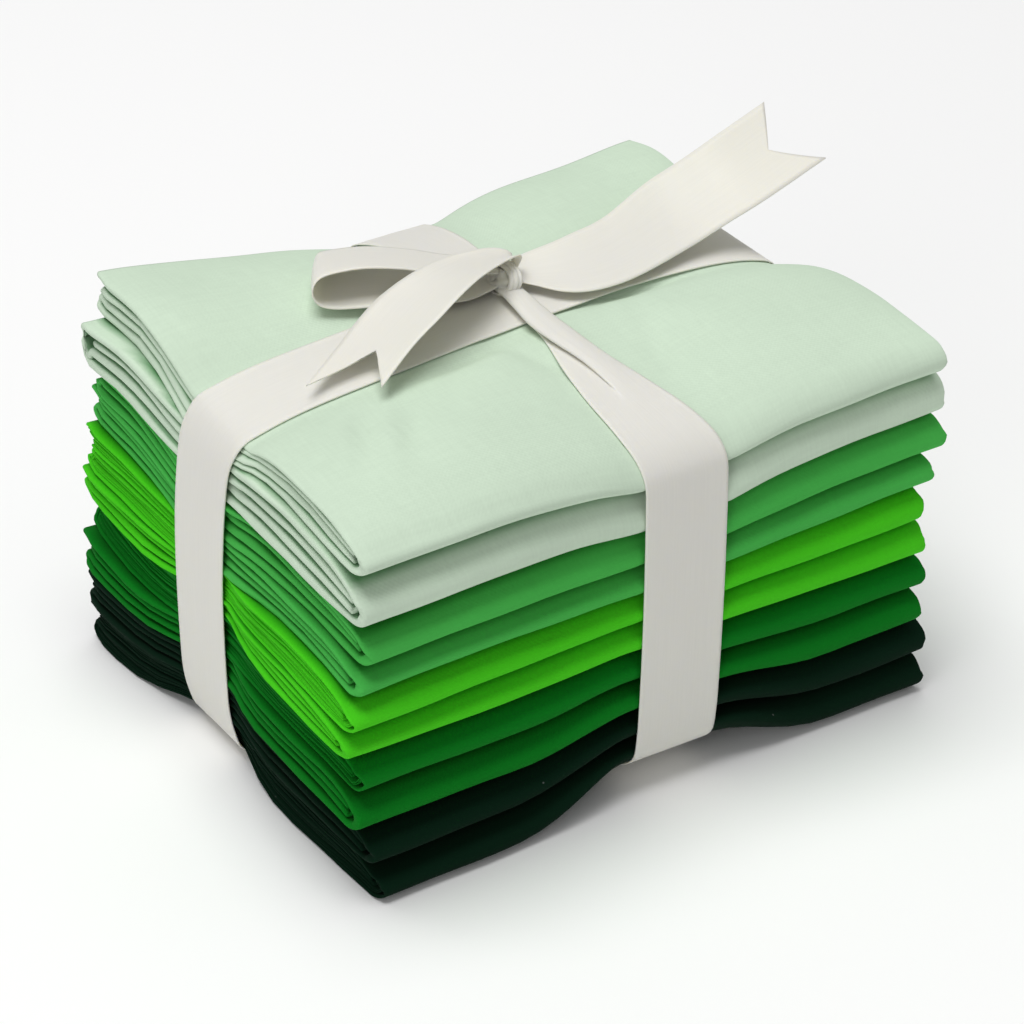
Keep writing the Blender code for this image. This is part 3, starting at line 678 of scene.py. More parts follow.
def grid_object(name, places, flat, unshaded_share=None):
    """Make an object of a grid of points in millimetres, with each point's place on the flat cloth as UV."""
    rows, columns = places.shape[:2]
    index = np.arange(rows * columns).reshape(rows, columns)
    corners = [index[:-1, :-1], index[1:, :-1], index[1:, 1:], index[:-1, 1:]]
    faces = np.stack(corners, axis=-1).reshape(-1, 4)
    shift = np.array([*SHIFT, 0.0])
    mesh = bpy.data.meshes.new(name)
    mesh.from_pydata(((places.reshape(-1, 3) + shift) * MM).tolist(), [], faces.tolist())
    layer = mesh.uv_layers.new(name="flat_cloth")
    layer.data.foreach_set("uv", (flat.reshape(-1, 2)[faces.reshape(-1)] * MM).reshape(-1))
    # The mask of the shade painted between the cloth's layers
    if unshaded_share is not None:
        attribute = mesh.attributes.new("open_air", "FLOAT", "POINT")
        attribute.data.foreach_set("value", unshaded_share.reshape(-1))
    mesh.polygons.foreach_set("use_smooth", [True] * len(mesh.polygons))
    item = bpy.data.objects.new(name, mesh)
    bpy.context.scene.collection.objects.link(item)
    return item


def thicken(item, thickness):
    """Give a sheet its thickness, the same to both sides."""
    solidify = item.modifiers.new("cloth thickness", "SOLIDIFY")
    solidify.thickness = thickness * MM
    solidify.offset = 0.0
    return item


def roll_back(share, y, back, height, curl):
    """Roll the last of a cloth's depth round into an open loop."""
    middle = NOMINAL_HEIGHT / 2
    start = back - LOOP_START
    radius = np.maximum(np.abs(height - middle), 0.4)
    angle = np.clip((y - start) / LOOP_ROLL, 0.0, math.pi / 2) * curl
    rolled_y = start + (y - start) * (1.0 - curl) + curl * radius * np.sin(angle)
    rolled_height = middle + (height - middle) * np.cos(angle)
    past = (y > start) & (share > 0.5)
    return np.where(past, rolled_y, y), np.where(past, rolled_height, height)


def fold_cloth(cloth, index, fine):
    """Fold one fat quarter in four both ways and lay it in the stack."""
    steps = TOP_STEPS if fine else CURLED_STEPS if cloth.curl > 0 else INNER_STEPS
    depth, flat_v = depth_path(steps.depth_shown, steps.depth_hidden)
    width, flat_u = width_path(steps.width_shown, steps.width_hidden, cloth.cut_left)
    share_y, offset_y, height, normal_y, normal_z, outer_nose, inner_nose = depth.T[:, None, :]
    share_x, offset_x, ply = width.T[:, :, None]
    seed = index + 1.0
    inner_ply = np.clip(0.5 - ply / PLY_STEP, 0.0, 1.0)
    height = height + normal_z * ply
    nose_offset = np.where(share_y < 0.5, offset_y + normal_y * ply, NOSE)
    offset_y = offset_y + cloth.hollow * (outer_nose * inner_ply + INNER_NOSE_HOLLOW * inner_nose)
    rise = height / NOMINAL_HEIGHT
    level = index + np.clip(rise, 0.0, 1.0)
    guess_x = share_x * FOLDED_WIDTH + 0.0 * share_y
    front = front_fold(cloth, guess_x, index + 0.5) + FRONT_WAVE * ripple(guess_x, 0.0, seed)
    back_wave = BACK_WAVE * ripple(guess_x, height * WAVE_BY_HEIGHT, seed + 3.0)
    back = back_fold(cloth, guess_x, level) + back_wave
    y = blend(front, back, share_y) + offset_y + normal_y * ply
    if cloth.curl > 0:
        inner = 1.0 - soft_step(2.4, 3.4, np.abs(height - NOMINAL_HEIGHT / 2))
        y = y - LOOP_SETBACK * cloth.curl * inner * soft_step(0.8, 1.0, share_y)
        y, height = roll_back(share_y + 0.0 * share_x, y, back, height + 0.0 * y, cloth.curl)
        rise = height / NOMINAL_HEIGHT
    setback = INNER_SETBACK * (1.0 - np.abs(2 * rise - 1.0)) + INNER_NOSE_SETBACK * inner_nose
    frayed = ripple(y * 1.7, ply * 40.0, seed + 11.0)
    left_frayed, right_frayed = (FRAYED, FOLDED_EDGE) if cloth.cut_left else (FOLDED_EDGE, FRAYED)
    left_wave = END_WAVE * ripple(y, height * WAVE_BY_HEIGHT, seed + 7.0)
    right_wave = END_WAVE * ripple(y, height * WAVE_BY_HEIGHT, seed + 13.0)
    low_x = left_end(cloth, y, level) + setback + left_wave + left_frayed * frayed
    high_x = right_end(cloth, y, level) + RIGHT_NOSE_BULGE * outer_nose - setback * (1.0 - outer_nose)
    high_x = high_x - right_wave - right_frayed * frayed
    x = blend(low_x, high_x, share_x) + offset_x
    inside = soft_step(*HIDDEN_FROM_END, np.minimum(x - low_x, high_x - x))
    inside = inside * soft_step(*HIDDEN_FROM_FRONT, y - front) * soft_step(*HIDDEN_FROM_BACK, back - y)
    sunk = 1.0 - HIDDEN_SINK * inside
    from_middle = np.abs(normal_z * ply + depth[None, :, 2] - NOMINAL_HEIGHT / 2)
    skin = (ply > SKIN_PLY) & (from_middle > SKIN_HEIGHT)
    rise = np.where(skin, rise, 0.5 + (rise - 0.5) * sunk)
    ply_wave = PLY_WAVE * ripple(x * 0.6 + y, height * WAVE_BY_HEIGHT, seed + 17.0)
    rise = rise + ply_wave * (1.0 - np.abs(2 * rise - 1.0))
    places = lay(x, y, rise, index)
    if fine:
        places[..., 2] -= dent_depth(places[..., 0], places[..., 1]) * np.clip(rise * 2 - 1, 0.0, 1.0)
    from_end = np.minimum(x - low_x, high_x - x) - HALF_PLY
    # Where shade is painted between the layers: 1 keeps the full colour, 0 is darkest
    unshaded_share = open_air(index, x, y, height, nose_offset, from_end)
    flat = np.stack(np.broadcast_arrays(flat_u[:, None], flat_v[None, :]), axis=-1)
    piece = thicken(grid_object(cloth.node + "_cloth", places, flat, unshaded_share), 2 * HALF_PLY)
    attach(piece, "root")
    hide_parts(cloth.node)
    return piece


# Ribbon


def spaced(line, count):
    """Give evenly spaced points along a dense line."""
    lengths = np.concatenate([[0.0], np.cumsum(np.linalg.norm(np.diff(line, axis=0), axis=1))])
    targets = np.linspace(0.0, lengths[-1], count)
    columns = [np.interp(targets, lengths, line[:, axis]) for axis in range(line.shape[1])]
    return np.stack(columns, axis=-1)


def smooth_line(points, count):
    """Give evenly spaced points on a smooth curve through a few given ones."""
    points = np.asarray(points, float)
    padded = np.vstack([2 * points[0] - points[1], points, 2 * points[-1] - points[-2]])
    pieces = []
    share = np.linspace(0.0, 1.0, 12, endpoint=False)[:, None]
    for step in range(len(points) - 1):
        before, start, end, after = padded[step:step + 4]
        curve = 2 * start + (end - before) * share
        curve = curve + (2 * before - 5 * start + 4 * end - after) * share ** 2
        curve = curve + (3 * start - before - 3 * end + after) * share ** 3
        pieces.append(curve / 2)
    pieces.append(points[-1:])
    return spaced(np.vstack(pieces), count)


def relax(line, times):
    """Smooth a closed line a little."""
    for _ in range(times):
        line = 0.5 * line + 0.25 * (np.roll(line, 1, axis=0) + np.roll(line, -1, axis=0))
    return line


def outward_normals(line, axes):
    """Give the unit normals of a closed line, in its plane, that point away from its middle."""
    ahead = (np.roll(line, -1, axis=0) - np.roll(line, 1, axis=0))[:, axes]
    ahead /= np.linalg.norm(ahead, axis=1)[:, None]
    normal = np.stack([-ahead[:, 1], ahead[:, 0]], axis=-1)
    centre = line[:, axes].mean(axis=0)
    return normal * np.sign(np.sum(normal * (line[:, axes] - centre))), ahead


def wrapped(line, axes, crossing_lift, start, count):
    """Draw a ribbon line taut round a rough closed line and outside all of it. It begins nearest to start."""
    closed = spaced(np.vstack([line, line[:1]]), 4 * count + 1)[:-1]
    even = relax(spaced(np.vstack([line, line[:1]]), count + 1)[:-1], 6)
    for smoothing in (2, 2, 1):
        normal, ahead = outward_normals(even, axes)
        apart = closed[None, :, axes] - even[:, None, axes]
        beside = np.abs(np.sum(apart * ahead[:, None, :], axis=-1))
        crossing = 1.0 - soft_step(*CROSSING_REACH, np.abs(even[:, 1] - RIBBON_Y))
        lift = RUN_LIFT + crossing_lift * crossing
        outside = np.sum(apart * normal[:, None, :], axis=-1) + lift[:, None]
        need = np.maximum(np.where(beside < 1.0, outside, 0.0).max(axis=1), 0.0)
        even[:, axes] += normal * need[:, None]
        even = relax(even, smoothing)
    first = int(np.argmin(np.linalg.norm(even - np.asarray(start), axis=1)))
    even = np.roll(even, -first, axis=0)
    return np.vstack([even, even[:1]])


def long_line(beside):
    """Give the cloth line under the ribbon that runs along X, at a distance beside its middle."""
    y = RIBBON_Y + beside
    top = CLOTH_COUNT - 1
    xs = np.linspace(END_MARGIN, FOLDED_WIDTH - END_MARGIN, TOP_PLACES)
    levels = np.linspace(0.0, CLOTH_COUNT, SIDE_PLACES)
    points = [lay(xs, np.full_like(xs, y), np.ones_like(xs), top)]
    for finder, order in ((right_end, levels[::-1]), (left_end, levels)):
        side = []
        for level in order:
            index = min(int(level), top)
            x = np.array([finder(CLOTHS[index], y, level)])
            side.append(lay(x, np.array([y]), np.array([level - index]), index)[0])
        points.append(np.array(side))
        if finder is right_end:
            points.append(lay(xs[::-1], np.full_like(xs, y), np.zeros_like(xs), 0))
    return np.vstack(points)


def gathered(beside, y):
    """Give the X and the lift of the gathered run at a place along the stack's top."""
    rows = np.array(GATHERS)
    middle = np.interp(y, rows[:, 0], rows[:, 1])
    half_width = np.interp(y, rows[:, 0], rows[:, 2])
    pleat = np.array(PLEATS)
    tight, tight_height, half_open, half_height = [
        np.interp(beside, pleat[:, 0], pleat[:, column]) for column in (1, 2, 3, 4)
    ]
    apart = np.where(y < KNOT_CENTRE[1], KNOT_CENTRE[1] - y, BEHIND_KNOT * (y - KNOT_CENTRE[1]))
    opening = soft_step(*PLEAT_OPENING, apart)
    flattening = soft_step(*PLEAT_FLATTENING, apart)
    across = blend(blend(tight, half_open, opening), beside / HALF_BAND, flattening)
    lift = blend(blend(tight_height, half_height, opening), 0.0, flattening)
    return middle + across * half_width, lift


def short_line(beside):
    """Give the cloth line under the ribbon that runs along Y, at a distance beside its middle."""
    top = CLOTH_COUNT - 1
    ys = np.linspace(FOLDED_DEPTH - BACK_MARGIN, NOSE, GATHERED_PLACES)
    xs, lift = gathered(beside, ys)
    points = [lay(xs, ys, np.ones_like(ys), top)]
    points[0][:, 2] += lift
    x = np.array([RIBBON_X + beside])
    face = [(top, angle) for angle in range(100, 181, 10)]
    face += [(index, 180) for index in range(top - 1, 0, -1)]
    face += [(0, angle) for angle in range(180, 261, 10)]
    noses = []
    for index, angle in face:
        turn = math.radians(angle)
        y = front_fold(CLOTHS[index], x, index + 0.5) + NOSE * (1.0 + math.cos(turn))
        noses.append(lay(x, y, np.array([0.5 + 0.5 * math.sin(turn)]), index)[0])
    points.append(np.array(noses))
    base = np.linspace(NOSE, FOLDED_DEPTH - BACK_MARGIN, BASE_PLACES)
    points.append(lay(np.full_like(base, x[0]), base, np.zeros_like(base), 0))
    rear = []
    for level in np.linspace(0.0, CLOTH_COUNT, SIDE_PLACES):
        index = min(int(level), top)
        rear.append(lay(x, back_fold(CLOTHS[index], x, level), np.array([level - index]), index)[0])
    points.append(np.array(rear))
    return np.vstack(points)


def run_object(name, finder, axes, lift, start):
    """Make one run of the ribbon round the stack and back to the knot."""
    beside = np.linspace(-HALF_BAND, HALF_BAND, RUN_COLUMNS)
    lines = np.stack([wrapped(finder(place), axes, lift, start, RUN_STEPS) for place in beside])
    steps = np.linalg.norm(np.diff(lines[RUN_COLUMNS // 2], axis=0), axis=1)
    along = np.concatenate([[0.0], np.cumsum(steps)])
    flat = np.stack(np.broadcast_arrays(beside[:, None], along[None, :]), axis=-1)
    piece = thicken(grid_object(name, lines, flat), RIBBON_THICKNESS)
    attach(piece, "root")
    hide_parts("ribbon_tie")
    return piece


def strip_grid(stations, count, camber, notch, start_length):
    """Give the points and the flat places of an open length of ribbon through its stations."""
    edges = smooth_line([tuple(row) for row in stations], count * 4)
    near, far = edges[:, :3], edges[:, 3:]
    middle = (near + far) / 2
    lengths = np.concatenate([[0.0], np.cumsum(np.linalg.norm(np.diff(middle, axis=0), axis=1))])
    across = np.linspace(-1.0, 1.0, STRIP_COLUMNS)
    ahead = np.gradient(middle, axis=0)
    normal = np.cross(ahead, far - near)
    normal /= np.linalg.norm(normal, axis=1)[:, None]
    columns = []
    flats = []
    for place in across:
        line = blend(near, far, (place + 1) / 2) + normal * camber * (1.0 - place ** 2)
        reach = lengths[-1] - notch * (1.0 - abs(place))
        share = np.linspace(0.0, 1.0, count)
        target = lengths[-1] * share + (reach - lengths[-1]) * share ** 6
        columns.append(np.stack([np.interp(target, lengths, line[:, axis]) for axis in range(3)], axis=-1))
        flats.append(np.stack([np.full(count, place * HALF_BAND), target + start_length], axis=-1))
    return np.stack(columns), np.stack(flats), lengths[-1]


def knot_grid():
    """Give the points of the strap that wraps the knot, with its lengthwise creases."""
    turns = np.linspace(0.0, 2 * math.pi, 61)
    across = np.linspace(-1.0, 1.0, KNOT_COLUMNS)
    columns = []
    flats = []
    for place in across:
        crease = 0.12 * math.cos(place * 8.0) + 0.15 * (1.0 - place ** 2) - 0.5 * place ** 6
        half_width = KNOT_RADII[0] * (1.0 + 0.08 * np.cos(turns * 2))
        x = KNOT_CENTRE[0] + place * half_width + KNOT_LEAN * np.sin(turns)
        y = KNOT_CENTRE[1] + (KNOT_RADII[1] - STRAP_INSET + crease) * np.cos(turns)
        z = KNOT_CENTRE[2] + (KNOT_RADII[2] - STRAP_INSET + crease) * np.sin(turns)
        columns.append(np.stack([x, y, z], axis=-1))
        flats.append(np.stack([np.full_like(turns, place * HALF_BAND), turns * KNOT_RADII[1]], axis=-1))
    return np.stack(columns), np.stack(flats)


def core_grid():
    """Give the points of the gathered ribbon inside the knot, as a creased lump."""
    turns = np.linspace(0.0, 2 * math.pi, 49)
    across = np.linspace(-1.0, 1.0, KNOT_COLUMNS)
    columns = []
    flats = []
    for place in across:
        radius = math.sqrt(max(1.0 - place ** 2, 0.0004)) * (1.0 - 0.18 * math.exp(-(place * 4.0) ** 2))
        crease = 1.0 + 0.09 * np.cos(turns * 7.0 + place)
        x = KNOT_CENTRE[0] + place * CORE_RADII[0] + CORE_LEAN * np.sin(turns)
        y = KNOT_CENTRE[1] + CORE_RADII[1] * radius * crease * np.cos(turns)
        z = KNOT_CENTRE[2] + CORE_RADII[2] * radius * crease * np.sin(turns)
        columns.append(np.stack([x, y, z], axis=-1))
        flats.append(np.stack([turns, np.full_like(turns, place * 5.0)], axis=-1))
    return np.stack(columns), np.stack(flats)


def tie_half_bow(name):
    """Make the knot, the loop and the two swallow-tailed ends as one length of ribbon."""
    parts = []
    length = 0.0
    for stations, count, camber, notch in (
        (LOOP, 110, 0.35, 0.0),
        (LEFT_TAIL, 60, 0.9, LEFT_NOTCH),
        (RIGHT_TAIL, 70, -0.8, RIGHT_NOTCH),
    ):
        places, flat, reach = strip_grid(stations, count, camber, notch, length)
        length += reach
        parts.append((places, flat))
    parts.append(knot_grid())
    parts.append(core_grid())
    length += 2 * math.pi * KNOT_RADII[1]
    items = [grid_object("bow_part", places, flat) for places, flat in parts]
    bpy.ops.object.select_all(action="DESELECT")
    for item in items:
        item.select_set(True)
    bpy.context.view_layer.objects.active = items[0]
    bpy.ops.object.join()
    piece = items[0]
    piece.name = name
    thicken(piece, RIBBON_THICKNESS)
    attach(piece, "root")
    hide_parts("ribbon_tie")
    return piece


# Materials


def empty_material(name):
    """Start a material with an empty node tree."""
    material = bpy.data.materials.new(name)
    material.use_nodes = True
    material.node_tree.nodes.clear()
    return material, material.node_tree


def quilting_cotton(name, colour, pitch, lint):
    """Make plain-woven, piece-dyed quilting cotton.

    It reads as even, matte colour with no shine, a faint grain of crossed threads with slubs, and lint, and
    its colour is painted darker between its layers as shade.
    """
    material, tree = empty_material(name)
    place = add_node(tree, "ShaderNodeUVMap", {"uv_map": "flat_cloth"})
    # Over-and-under threads, drawn a little coarser than real quilting cotton's 0.35 mm
    threads = add_node(
        tree, "ShaderNodeVectorMath", {"operation": "SCALE", "Scale": math.pi / pitch}, {0: (place, "UV")}
    )
    parts = add_node(tree, "ShaderNodeSeparateXYZ", None, {0: (threads, 0)})
    warp = add_node(tree, "ShaderNodeMath", {"operation": "SINE"}, {0: (parts, "X")})
    weft = add_node(tree, "ShaderNodeMath", {"operation": "SINE"}, {0: (parts, "Y")})
    weave = add_node(tree, "ShaderNodeMath", {"operation": "MULTIPLY"}, {0: (warp, 0), 1: (weft, 0)})
    # Slubs, where a thread runs thicker for some 7 mm of its length
    slub_u = add_node(tree, "ShaderNodeMapping", {"Scale": (140.0, 1500.0, 1.0)}, {"Vector": (place, "UV")})
    slub_v = add_node(tree, "ShaderNodeMapping", {"Scale": (1500.0, 140.0, 1.0)}, {"Vector": (place, "UV")})
    along = add_node(tree, "ShaderNodeTexNoise", {"Scale": 1.0, "Detail": 2.0}, {"Vector": (slub_u, 0)})
    across = add_node(tree, "ShaderNodeTexNoise", {"Scale": 1.0, "Detail": 2.0}, {"Vector": (slub_v, 0)})
    slubs = add_node(tree, "ShaderNodeMath", {"operation": "ADD"}, {0: (along, 0), 1: (across, 0)})
    cloud = add_node(tree, "ShaderNodeTexNoise", {"Scale": 30.0, "Detail": 3.0}, {"Vector": (place, "UV")})
    shade = add_node(
        tree,
        "ShaderNodeMapRange",
        {"From Min": 0.6, "From Max": 1.4, "To Min": 0.965, "To Max": 1.035},
        {0: (slubs, 0)},
    )
    mottle = add_node(
        tree,
        "ShaderNodeMapRange",
        {"From Min": 0.3, "From Max": 0.7, "To Min": 0.975, "To Max": 1.02},
        {0: (cloud, 0)},
    )
    tone = add_node(tree, "ShaderNodeMath", {"operation": "MULTIPLY"}, {0: (shade, 0), 1: (mottle, 0)})
    dyed = add_node(tree, "ShaderNodeVectorMath", {"operation": "SCALE", 0: colour}, {"Scale": (tone, 0)})
    # Painted shade: between the layers the colour is darkened and deepened, as light arrives there only off
    # dyed cloth
    open_air = add_node(tree, "ShaderNodeAttribute", {"attribute_name": "open_air"})
    deep = [channel * share for channel, share in zip(colour, PAINTED_SHADE_SHARE)]
    with_painted_shade = add_node(
        tree, "ShaderNodeMix", {"data_type": "RGBA", 6: (*deep, 1.0)}, {0: (open_air, "Fac"), 7: (dyed, 0)}
    )
    # Lint, specks some 0.3 mm across
    specks = add_node(
        tree, "ShaderNodeTexVoronoi", {"Scale": 260.0, "Randomness": 1.0}, {"Vector": (place, "UV")}
    )
    fleck = add_node(
        tree,
        "ShaderNodeMapRange",
        {"From Min": 0.035, "From Max": 0.075, "To Min": 0.7, "To Max": 0.0},
        {0: (specks, "Distance")},
    )
    rare = add_node(tree, "ShaderNodeSeparateColor", None, {0: (specks, "Color")})
    chosen = add_node(tree, "ShaderNodeMath", {"operation": "GREATER_THAN", 1: 1.0 - lint}, {0: (rare, 0)})
    lint_share = add_node(tree, "ShaderNodeMath", {"operation": "MULTIPLY"}, {0: (fleck, 0), 1: (chosen, 0)})
    coloured = add_node(
        tree,
        "ShaderNodeMix",
        {"data_type": "RGBA", 7: (*[min(1.0, channel * 0.8 + 0.12) for channel in colour], 1.0)},
        {0: (lint_share, 0), 6: (with_painted_shade, 2)},
    )
    relief = add_node(
        tree, "ShaderNodeMath", {"operation": "MULTIPLY_ADD", 1: 0.8}, {0: (slubs, 0), 2: (weave, 0)}
    )
    bump = add_node(tree, "ShaderNodeBump", {"Strength": 0.08, "Distance": 0.00015}, {"Height": (relief, 0)})
    shader = add_node(
        tree,
        "ShaderNodeBsdfPrincipled",
        {
            "Roughness": 0.95,
            "Specular IOR Level": 0.12,
            "Sheen Weight": 0.05,
            "Sheen Roughness": 0.5,
            "Sheen Tint": (*[min(1.0, channel * 1.2 + 0.02) for channel in colour], 1.0),
        },
        {"Base Color": (coloured, 2), "Normal": (bump, 0)},
    )
    add_node(tree, "ShaderNodeOutputMaterial", None, {"Surface": (shader, 0)})
    return material


def satin_ribbon(name, colour):
    """Make thin woven polyester satin.

    Its long floats give a soft shine along the ribbon, its edge is firmer and duller, and some light goes
    into the thin weave and softens its shadows.
    """
    material, tree = empty_material(name)
    place = add_node(tree, "ShaderNodeUVMap", {"uv_map": "flat_cloth"})
    parts = add_node(tree, "ShaderNodeSeparateXYZ", None, {0: (place, "UV")})
    # The woven edge, 1 mm wide and a little raised
    edge = add_node(tree, "ShaderNodeMath", {"operation": "ABSOLUTE"}, {0: (parts, "X")})
    selvedge = add_node(
        tree,
        "ShaderNodeMapRange",
        {"From Min": 0.0086, "From Max": 0.0092, "To Min": 0.0, "To Max": 1.0},
        {0: (edge, 0)},
    )
    # Floats, fine threads 0.4 mm apart that run along the ribbon
    scaled = add_node(tree, "ShaderNodeMapping", {"Scale": (2600.0, 60.0, 1.0)}, {"Vector": (place, "UV")})
    floats = add_node(tree, "ShaderNodeTexNoise", {"Scale": 1.0, "Detail": 2.0}, {"Vector": (scaled, 0)})
    relief = add_node(
        tree, "ShaderNodeMath", {"operation": "MULTIPLY_ADD", 1: 1.2}, {0: (selvedge, 0), 2: (floats, 0)}
    )
    bump = add_node(tree, "ShaderNodeBump", {"Strength": 0.14, "Distance": 0.0001}, {"Height": (relief, 0)})
    tone = add_node(
        tree,
        "ShaderNodeMapRange",
        {"From Min": 0.3, "From Max": 0.7, "To Min": 0.985, "To Max": 1.01},
        {0: (floats, 0)},
    )
    dyed = add_node(tree, "ShaderNodeVectorMath", {"operation": "SCALE", 0: colour}, {"Scale": (tone, 0)})
    rough = add_node(
        tree,
        "ShaderNodeMapRange",
        {"From Min": 0.0, "From Max": 1.0, "To Min": 0.45, "To Max": 0.65},
        {0: (selvedge, 0)},
    )
    shader = add_node(
        tree,
        "ShaderNodeBsdfPrincipled",
        {
            "Specular IOR Level": 0.4,
            "IOR": 1.5,
            "Sheen Weight": 0.08,
            "Sheen Roughness": 0.4,
            "Subsurface Weight": 0.35,
            "Subsurface Radius": (1.0, 0.9, 0.6),
            "Subsurface Scale": 0.0012,
        },
        {"Base Color": (dyed, 0), "Roughness": (rough, 0), "Normal": (bump, 0)},
    )
    add_node(tree, "ShaderNodeOutputMaterial", None, {"Surface": (shader, 0)})
    return material


def plain_paper(name, colour):
    """Make the floor's matte uncoated paper, which shows soft shadows and no shine."""
    material = bpy.data.materials.new(name)
    material.use_nodes = True
    shader = material.node_tree.nodes["Principled BSDF"]
    shader.inputs["Base Color"].default_value = (*colour, 1.0)
    shader.inputs["Roughness"].default_value = 0.9
    shader.inputs["Specular IOR Level"].default_value = 0.1
    return material


# Settings, operators and panel


def dye(name, description, code):
    """Give the panel a colour to choose."""
    return bpy.props.FloatVectorProperty(
        name=name, description=description, subtype="COLOR", size=3, default=linear(code)
    )


def power(name, description, watts):
    """Give the panel a light's power to choose."""
    return bpy.props.FloatProperty(
        name=name, description=description, subtype="POWER", unit="POWER", default=watts
    )


class CottonSettings(bpy.types.PropertyGroup):
    """What a user would change on the cloths."""

    mint: dye("Mint", "Colour of the two top cloths", "#C6D8C3")
    grass: dye("Grass", "Colour of the third and fourth cloth", "#46AE4B")
    lime: dye("Lime", "Colour of the fifth and sixth cloth", "#46C51C")
    emerald: dye("Emerald", "Colour of the seventh and eighth cloth", "#06721A")
    forest: dye("Forest", "Colour of the two lowest cloths", "#021F10")
    thread_pitch: bpy.props.FloatProperty(
        name="Thread pitch",
        description="Distance between threads, drawn coarser than the real 0.35 mm so that it shows",
        subtype="DISTANCE",
        unit="LENGTH",
        default=0.0005,
    )


class RibbonSettings(bpy.types.PropertyGroup):
    """What a user would change on the ribbon."""

    satin: dye("Satin", "Colour of the ribbon", "#E3E0D6")


class StageSettings(bpy.types.PropertyGroup):
    """What a user would change on the stage."""

    floor_colour: bpy.props.FloatVectorProperty(
        name="Floor", description="Colour of the floor", subtype="COLOR", size=3, default=(0.93, 0.93, 0.928)
    )
    floor_size: bpy.props.FloatProperty(
        name="Floor size", description="Side of the floor", subtype="DISTANCE", unit="LENGTH", default=8.0
    )
    key_power: power("Key light", "Power of the soft light overhead", 44.0)
    side_power: power("Side light", "Power of the soft light at the left", 5.0)
    sky: bpy.props.FloatProperty(
        name="Sky", description="Strength of the even light from all round", subtype="FACTOR", default=0.30
    )


class FoldCottons(bpy.types.Operator):
    """Fold the fat quarters and stack them"""

    bl_idname = "bundle.fold_cottons"
    bl_label = "Fold the cottons"

    def execute(self, context):
        settings = context.scene.cotton_settings
        for index, cloth in enumerate(CLOTHS):
            name = "quilting_cotton_" + cloth.colour
            material = bpy.data.materials.get(name)
            if material is None:
                colour = tuple(getattr(settings, cloth.colour))
                lint = DARK_LINT if cloth.colour == "forest" else LINT
                material = quilting_cotton(name, colour, settings.thread_pitch, lint)
            piece = fold_cloth(cloth, index, index == CLOTH_COUNT - 1)
            piece.data.materials.append(material)
        return {"FINISHED"}


class WrapRibbon(bpy.types.Operator):
    """Wrap the ribbon round the stack both ways"""

    bl_idname = "bundle.wrap_ribbon"
    bl_label = "Wrap the ribbon"

    def execute(self, context):
        material = satin_ribbon("satin_ribbon", tuple(context.scene.ribbon_settings.satin))
        start = (RIBBON_X, RIBBON_Y, LEVELS[CLOTH_COUNT].front_left)
        runs = (
            ("ribbon_long_run", long_line, [0, 2], 0.0),
            ("ribbon_short_run", short_line, [1, 2], CROSSING_LIFT),
        )
        for name, finder, axes, lift in runs:
            run_object(name, finder, axes, lift, start).data.materials.append(material)
        return {"FINISHED"}


class TieHalfBow(bpy.types.Operator):
    """Tie the knot, its loop and its two tails"""

    bl_idname = "bundle.tie_half_bow"
    bl_label = "Tie the half bow"

    def execute(self, context):
        tie_half_bow("ribbon_half_bow").data.materials.append(bpy.data.materials["satin_ribbon"])
        return {"FINISHED"}


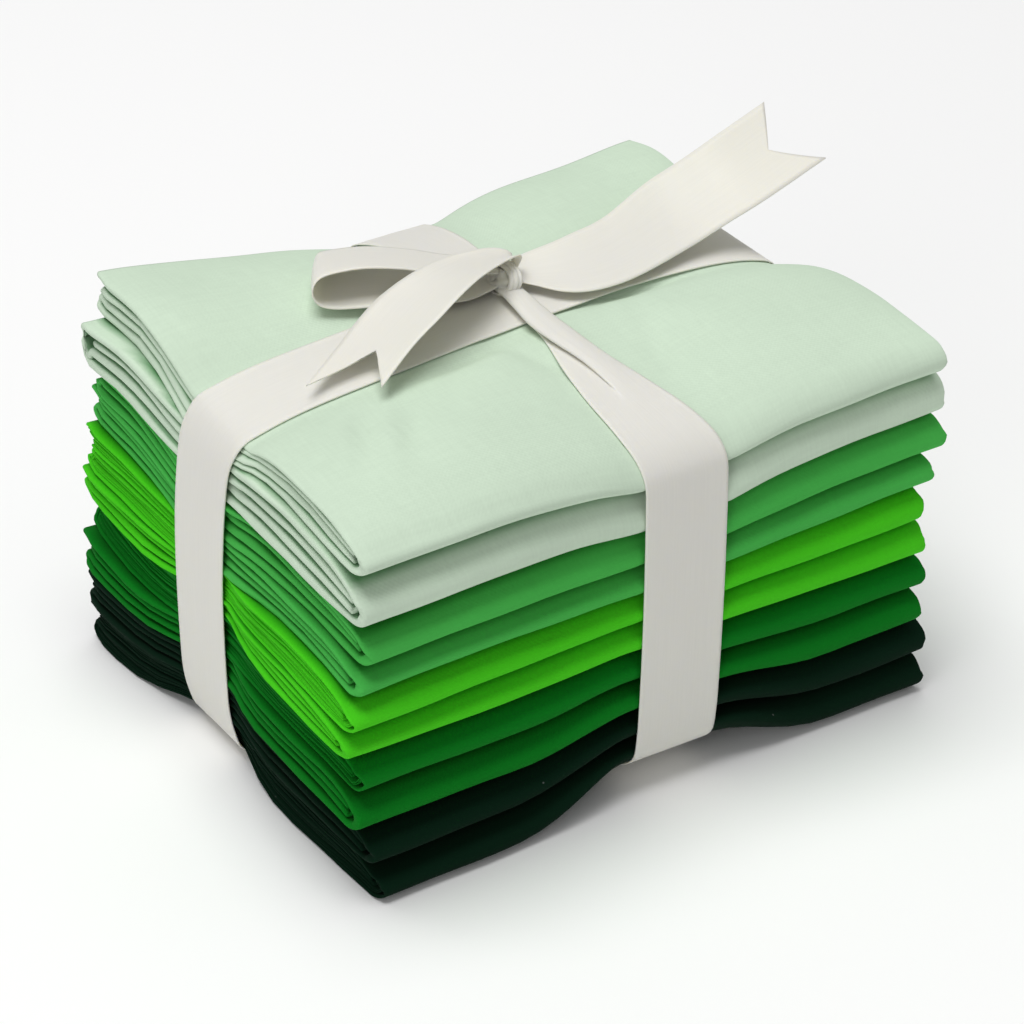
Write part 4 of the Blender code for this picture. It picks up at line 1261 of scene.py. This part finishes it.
class SetStage(bpy.types.Operator):
    """Set the floor, the lights and the camera"""

    bl_idname = "bundle.set_stage"
    bl_label = "Set the stage"

    def execute(self, context):
        scene = context.scene
        settings = scene.stage_settings
        bpy.ops.object.select_all(action="DESELECT")
        bpy.ops.mesh.primitive_plane_add(size=settings.floor_size, location=(0.0, 0.0, -0.0002))
        floor = context.active_object
        floor.name = "floor"
        floor.data.materials.append(plain_paper("matte_paper", tuple(settings.floor_colour)))
        world = bpy.data.worlds.new("soft_room")
        world.use_nodes = True
        sky = world.node_tree.nodes["Background"]
        sky.inputs["Color"].default_value = (1.0, 1.0, 1.0, 1.0)
        sky.inputs["Strength"].default_value = settings.sky
        scene.world = world
        lights = (
            ("key", (-0.35, 0.1, 2.3), 1.6, settings.key_power),
            ("side", (-1.35, -0.9, 0.7), 0.9, settings.side_power),
        )
        for name, place, size, power in lights:
            bpy.ops.object.light_add(type="AREA", location=place)
            light = context.active_object
            light.name = name
            light.data.shape = "SQUARE"
            light.data.size = size
            light.data.energy = power
            target = Vector((0.0, 0.0, 0.05))
            light.rotation_euler = (target - Vector(place)).to_track_quat("-Z", "Y").to_euler()
        scene.view_settings.view_transform = "Standard"
        self.add_camera(scene)
        return {"FINISHED"}

    def add_camera(self, scene):
        """Put the camera where the photo was taken from."""
        azimuth = math.radians(CAMERA_AZIMUTH)
        elevation = math.radians(CAMERA_ELEVATION)
        roll = math.radians(CAMERA_ROLL)
        level = math.cos(elevation)
        back = Vector((math.sin(azimuth) * level, -math.cos(azimuth) * level, math.sin(elevation)))
        right = Vector((0.0, 0.0, 1.0)).cross(back).normalized()
        up = back.cross(right)
        turned_right = right * math.cos(roll) + up * math.sin(roll)
        turned_up = up * math.cos(roll) - right * math.sin(roll)
        place = Vector((CAMERA_PLACE[0] + SHIFT[0], CAMERA_PLACE[1] + SHIFT[1], CAMERA_PLACE[2])) * MM
        camera_data = bpy.data.cameras.new("photo_camera")
        camera_data.lens = CAMERA_LENS
        camera_data.sensor_width = CAMERA_SENSOR
        camera = bpy.data.objects.new("photo_camera", camera_data)
        turn = Matrix((turned_right, turned_up, back)).transposed().to_4x4()
        camera.matrix_world = Matrix.Translation(place) @ turn
        scene.collection.objects.link(camera)
        scene.camera = camera


class BundlePanel(bpy.types.Panel):
    """The bundle's steps and settings"""

    bl_idname = "VIEW3D_PT_bundle"
    bl_label = "Fat quarter bundle"
    bl_space_type = "VIEW_3D"
    bl_region_type = "UI"
    bl_category = "Bundle"

    def draw(self, context):
        for operator in OPERATORS:
            self.layout.operator(operator.bl_idname)
        for group_name in GROUPS:
            group = getattr(context.scene, group_name)
            for name in group.__annotations__:
                self.layout.prop(group, name)


OPERATORS = (SetStage, FoldCottons, WrapRibbon, TieHalfBow)
GROUPS = {
    "cotton_settings": CottonSettings,
    "ribbon_settings": RibbonSettings,
    "stage_settings": StageSettings,
}


def register():
    """Register the settings, the operators and the panel."""
    for name, group in GROUPS.items():
        bpy.utils.register_class(group)
        setattr(bpy.types.Scene, name, bpy.props.PointerProperty(type=group))
    for item in OPERATORS + (BundlePanel,):
        bpy.utils.register_class(item)


def unregister():
    """Take away what register added."""
    for item in (BundlePanel,) + OPERATORS[::-1]:
        bpy.utils.unregister_class(item)
    for name, group in GROUPS.items():
        delattr(bpy.types.Scene, name)
        bpy.utils.unregister_class(group)


def main():
    """Dress the bundle."""
    register()
    bpy.ops.bundle.set_stage()
    bpy.ops.bundle.fold_cottons()
    bpy.ops.bundle.wrap_ribbon()
    bpy.ops.bundle.tie_half_bow()


if __name__ == "__main__":
    main()
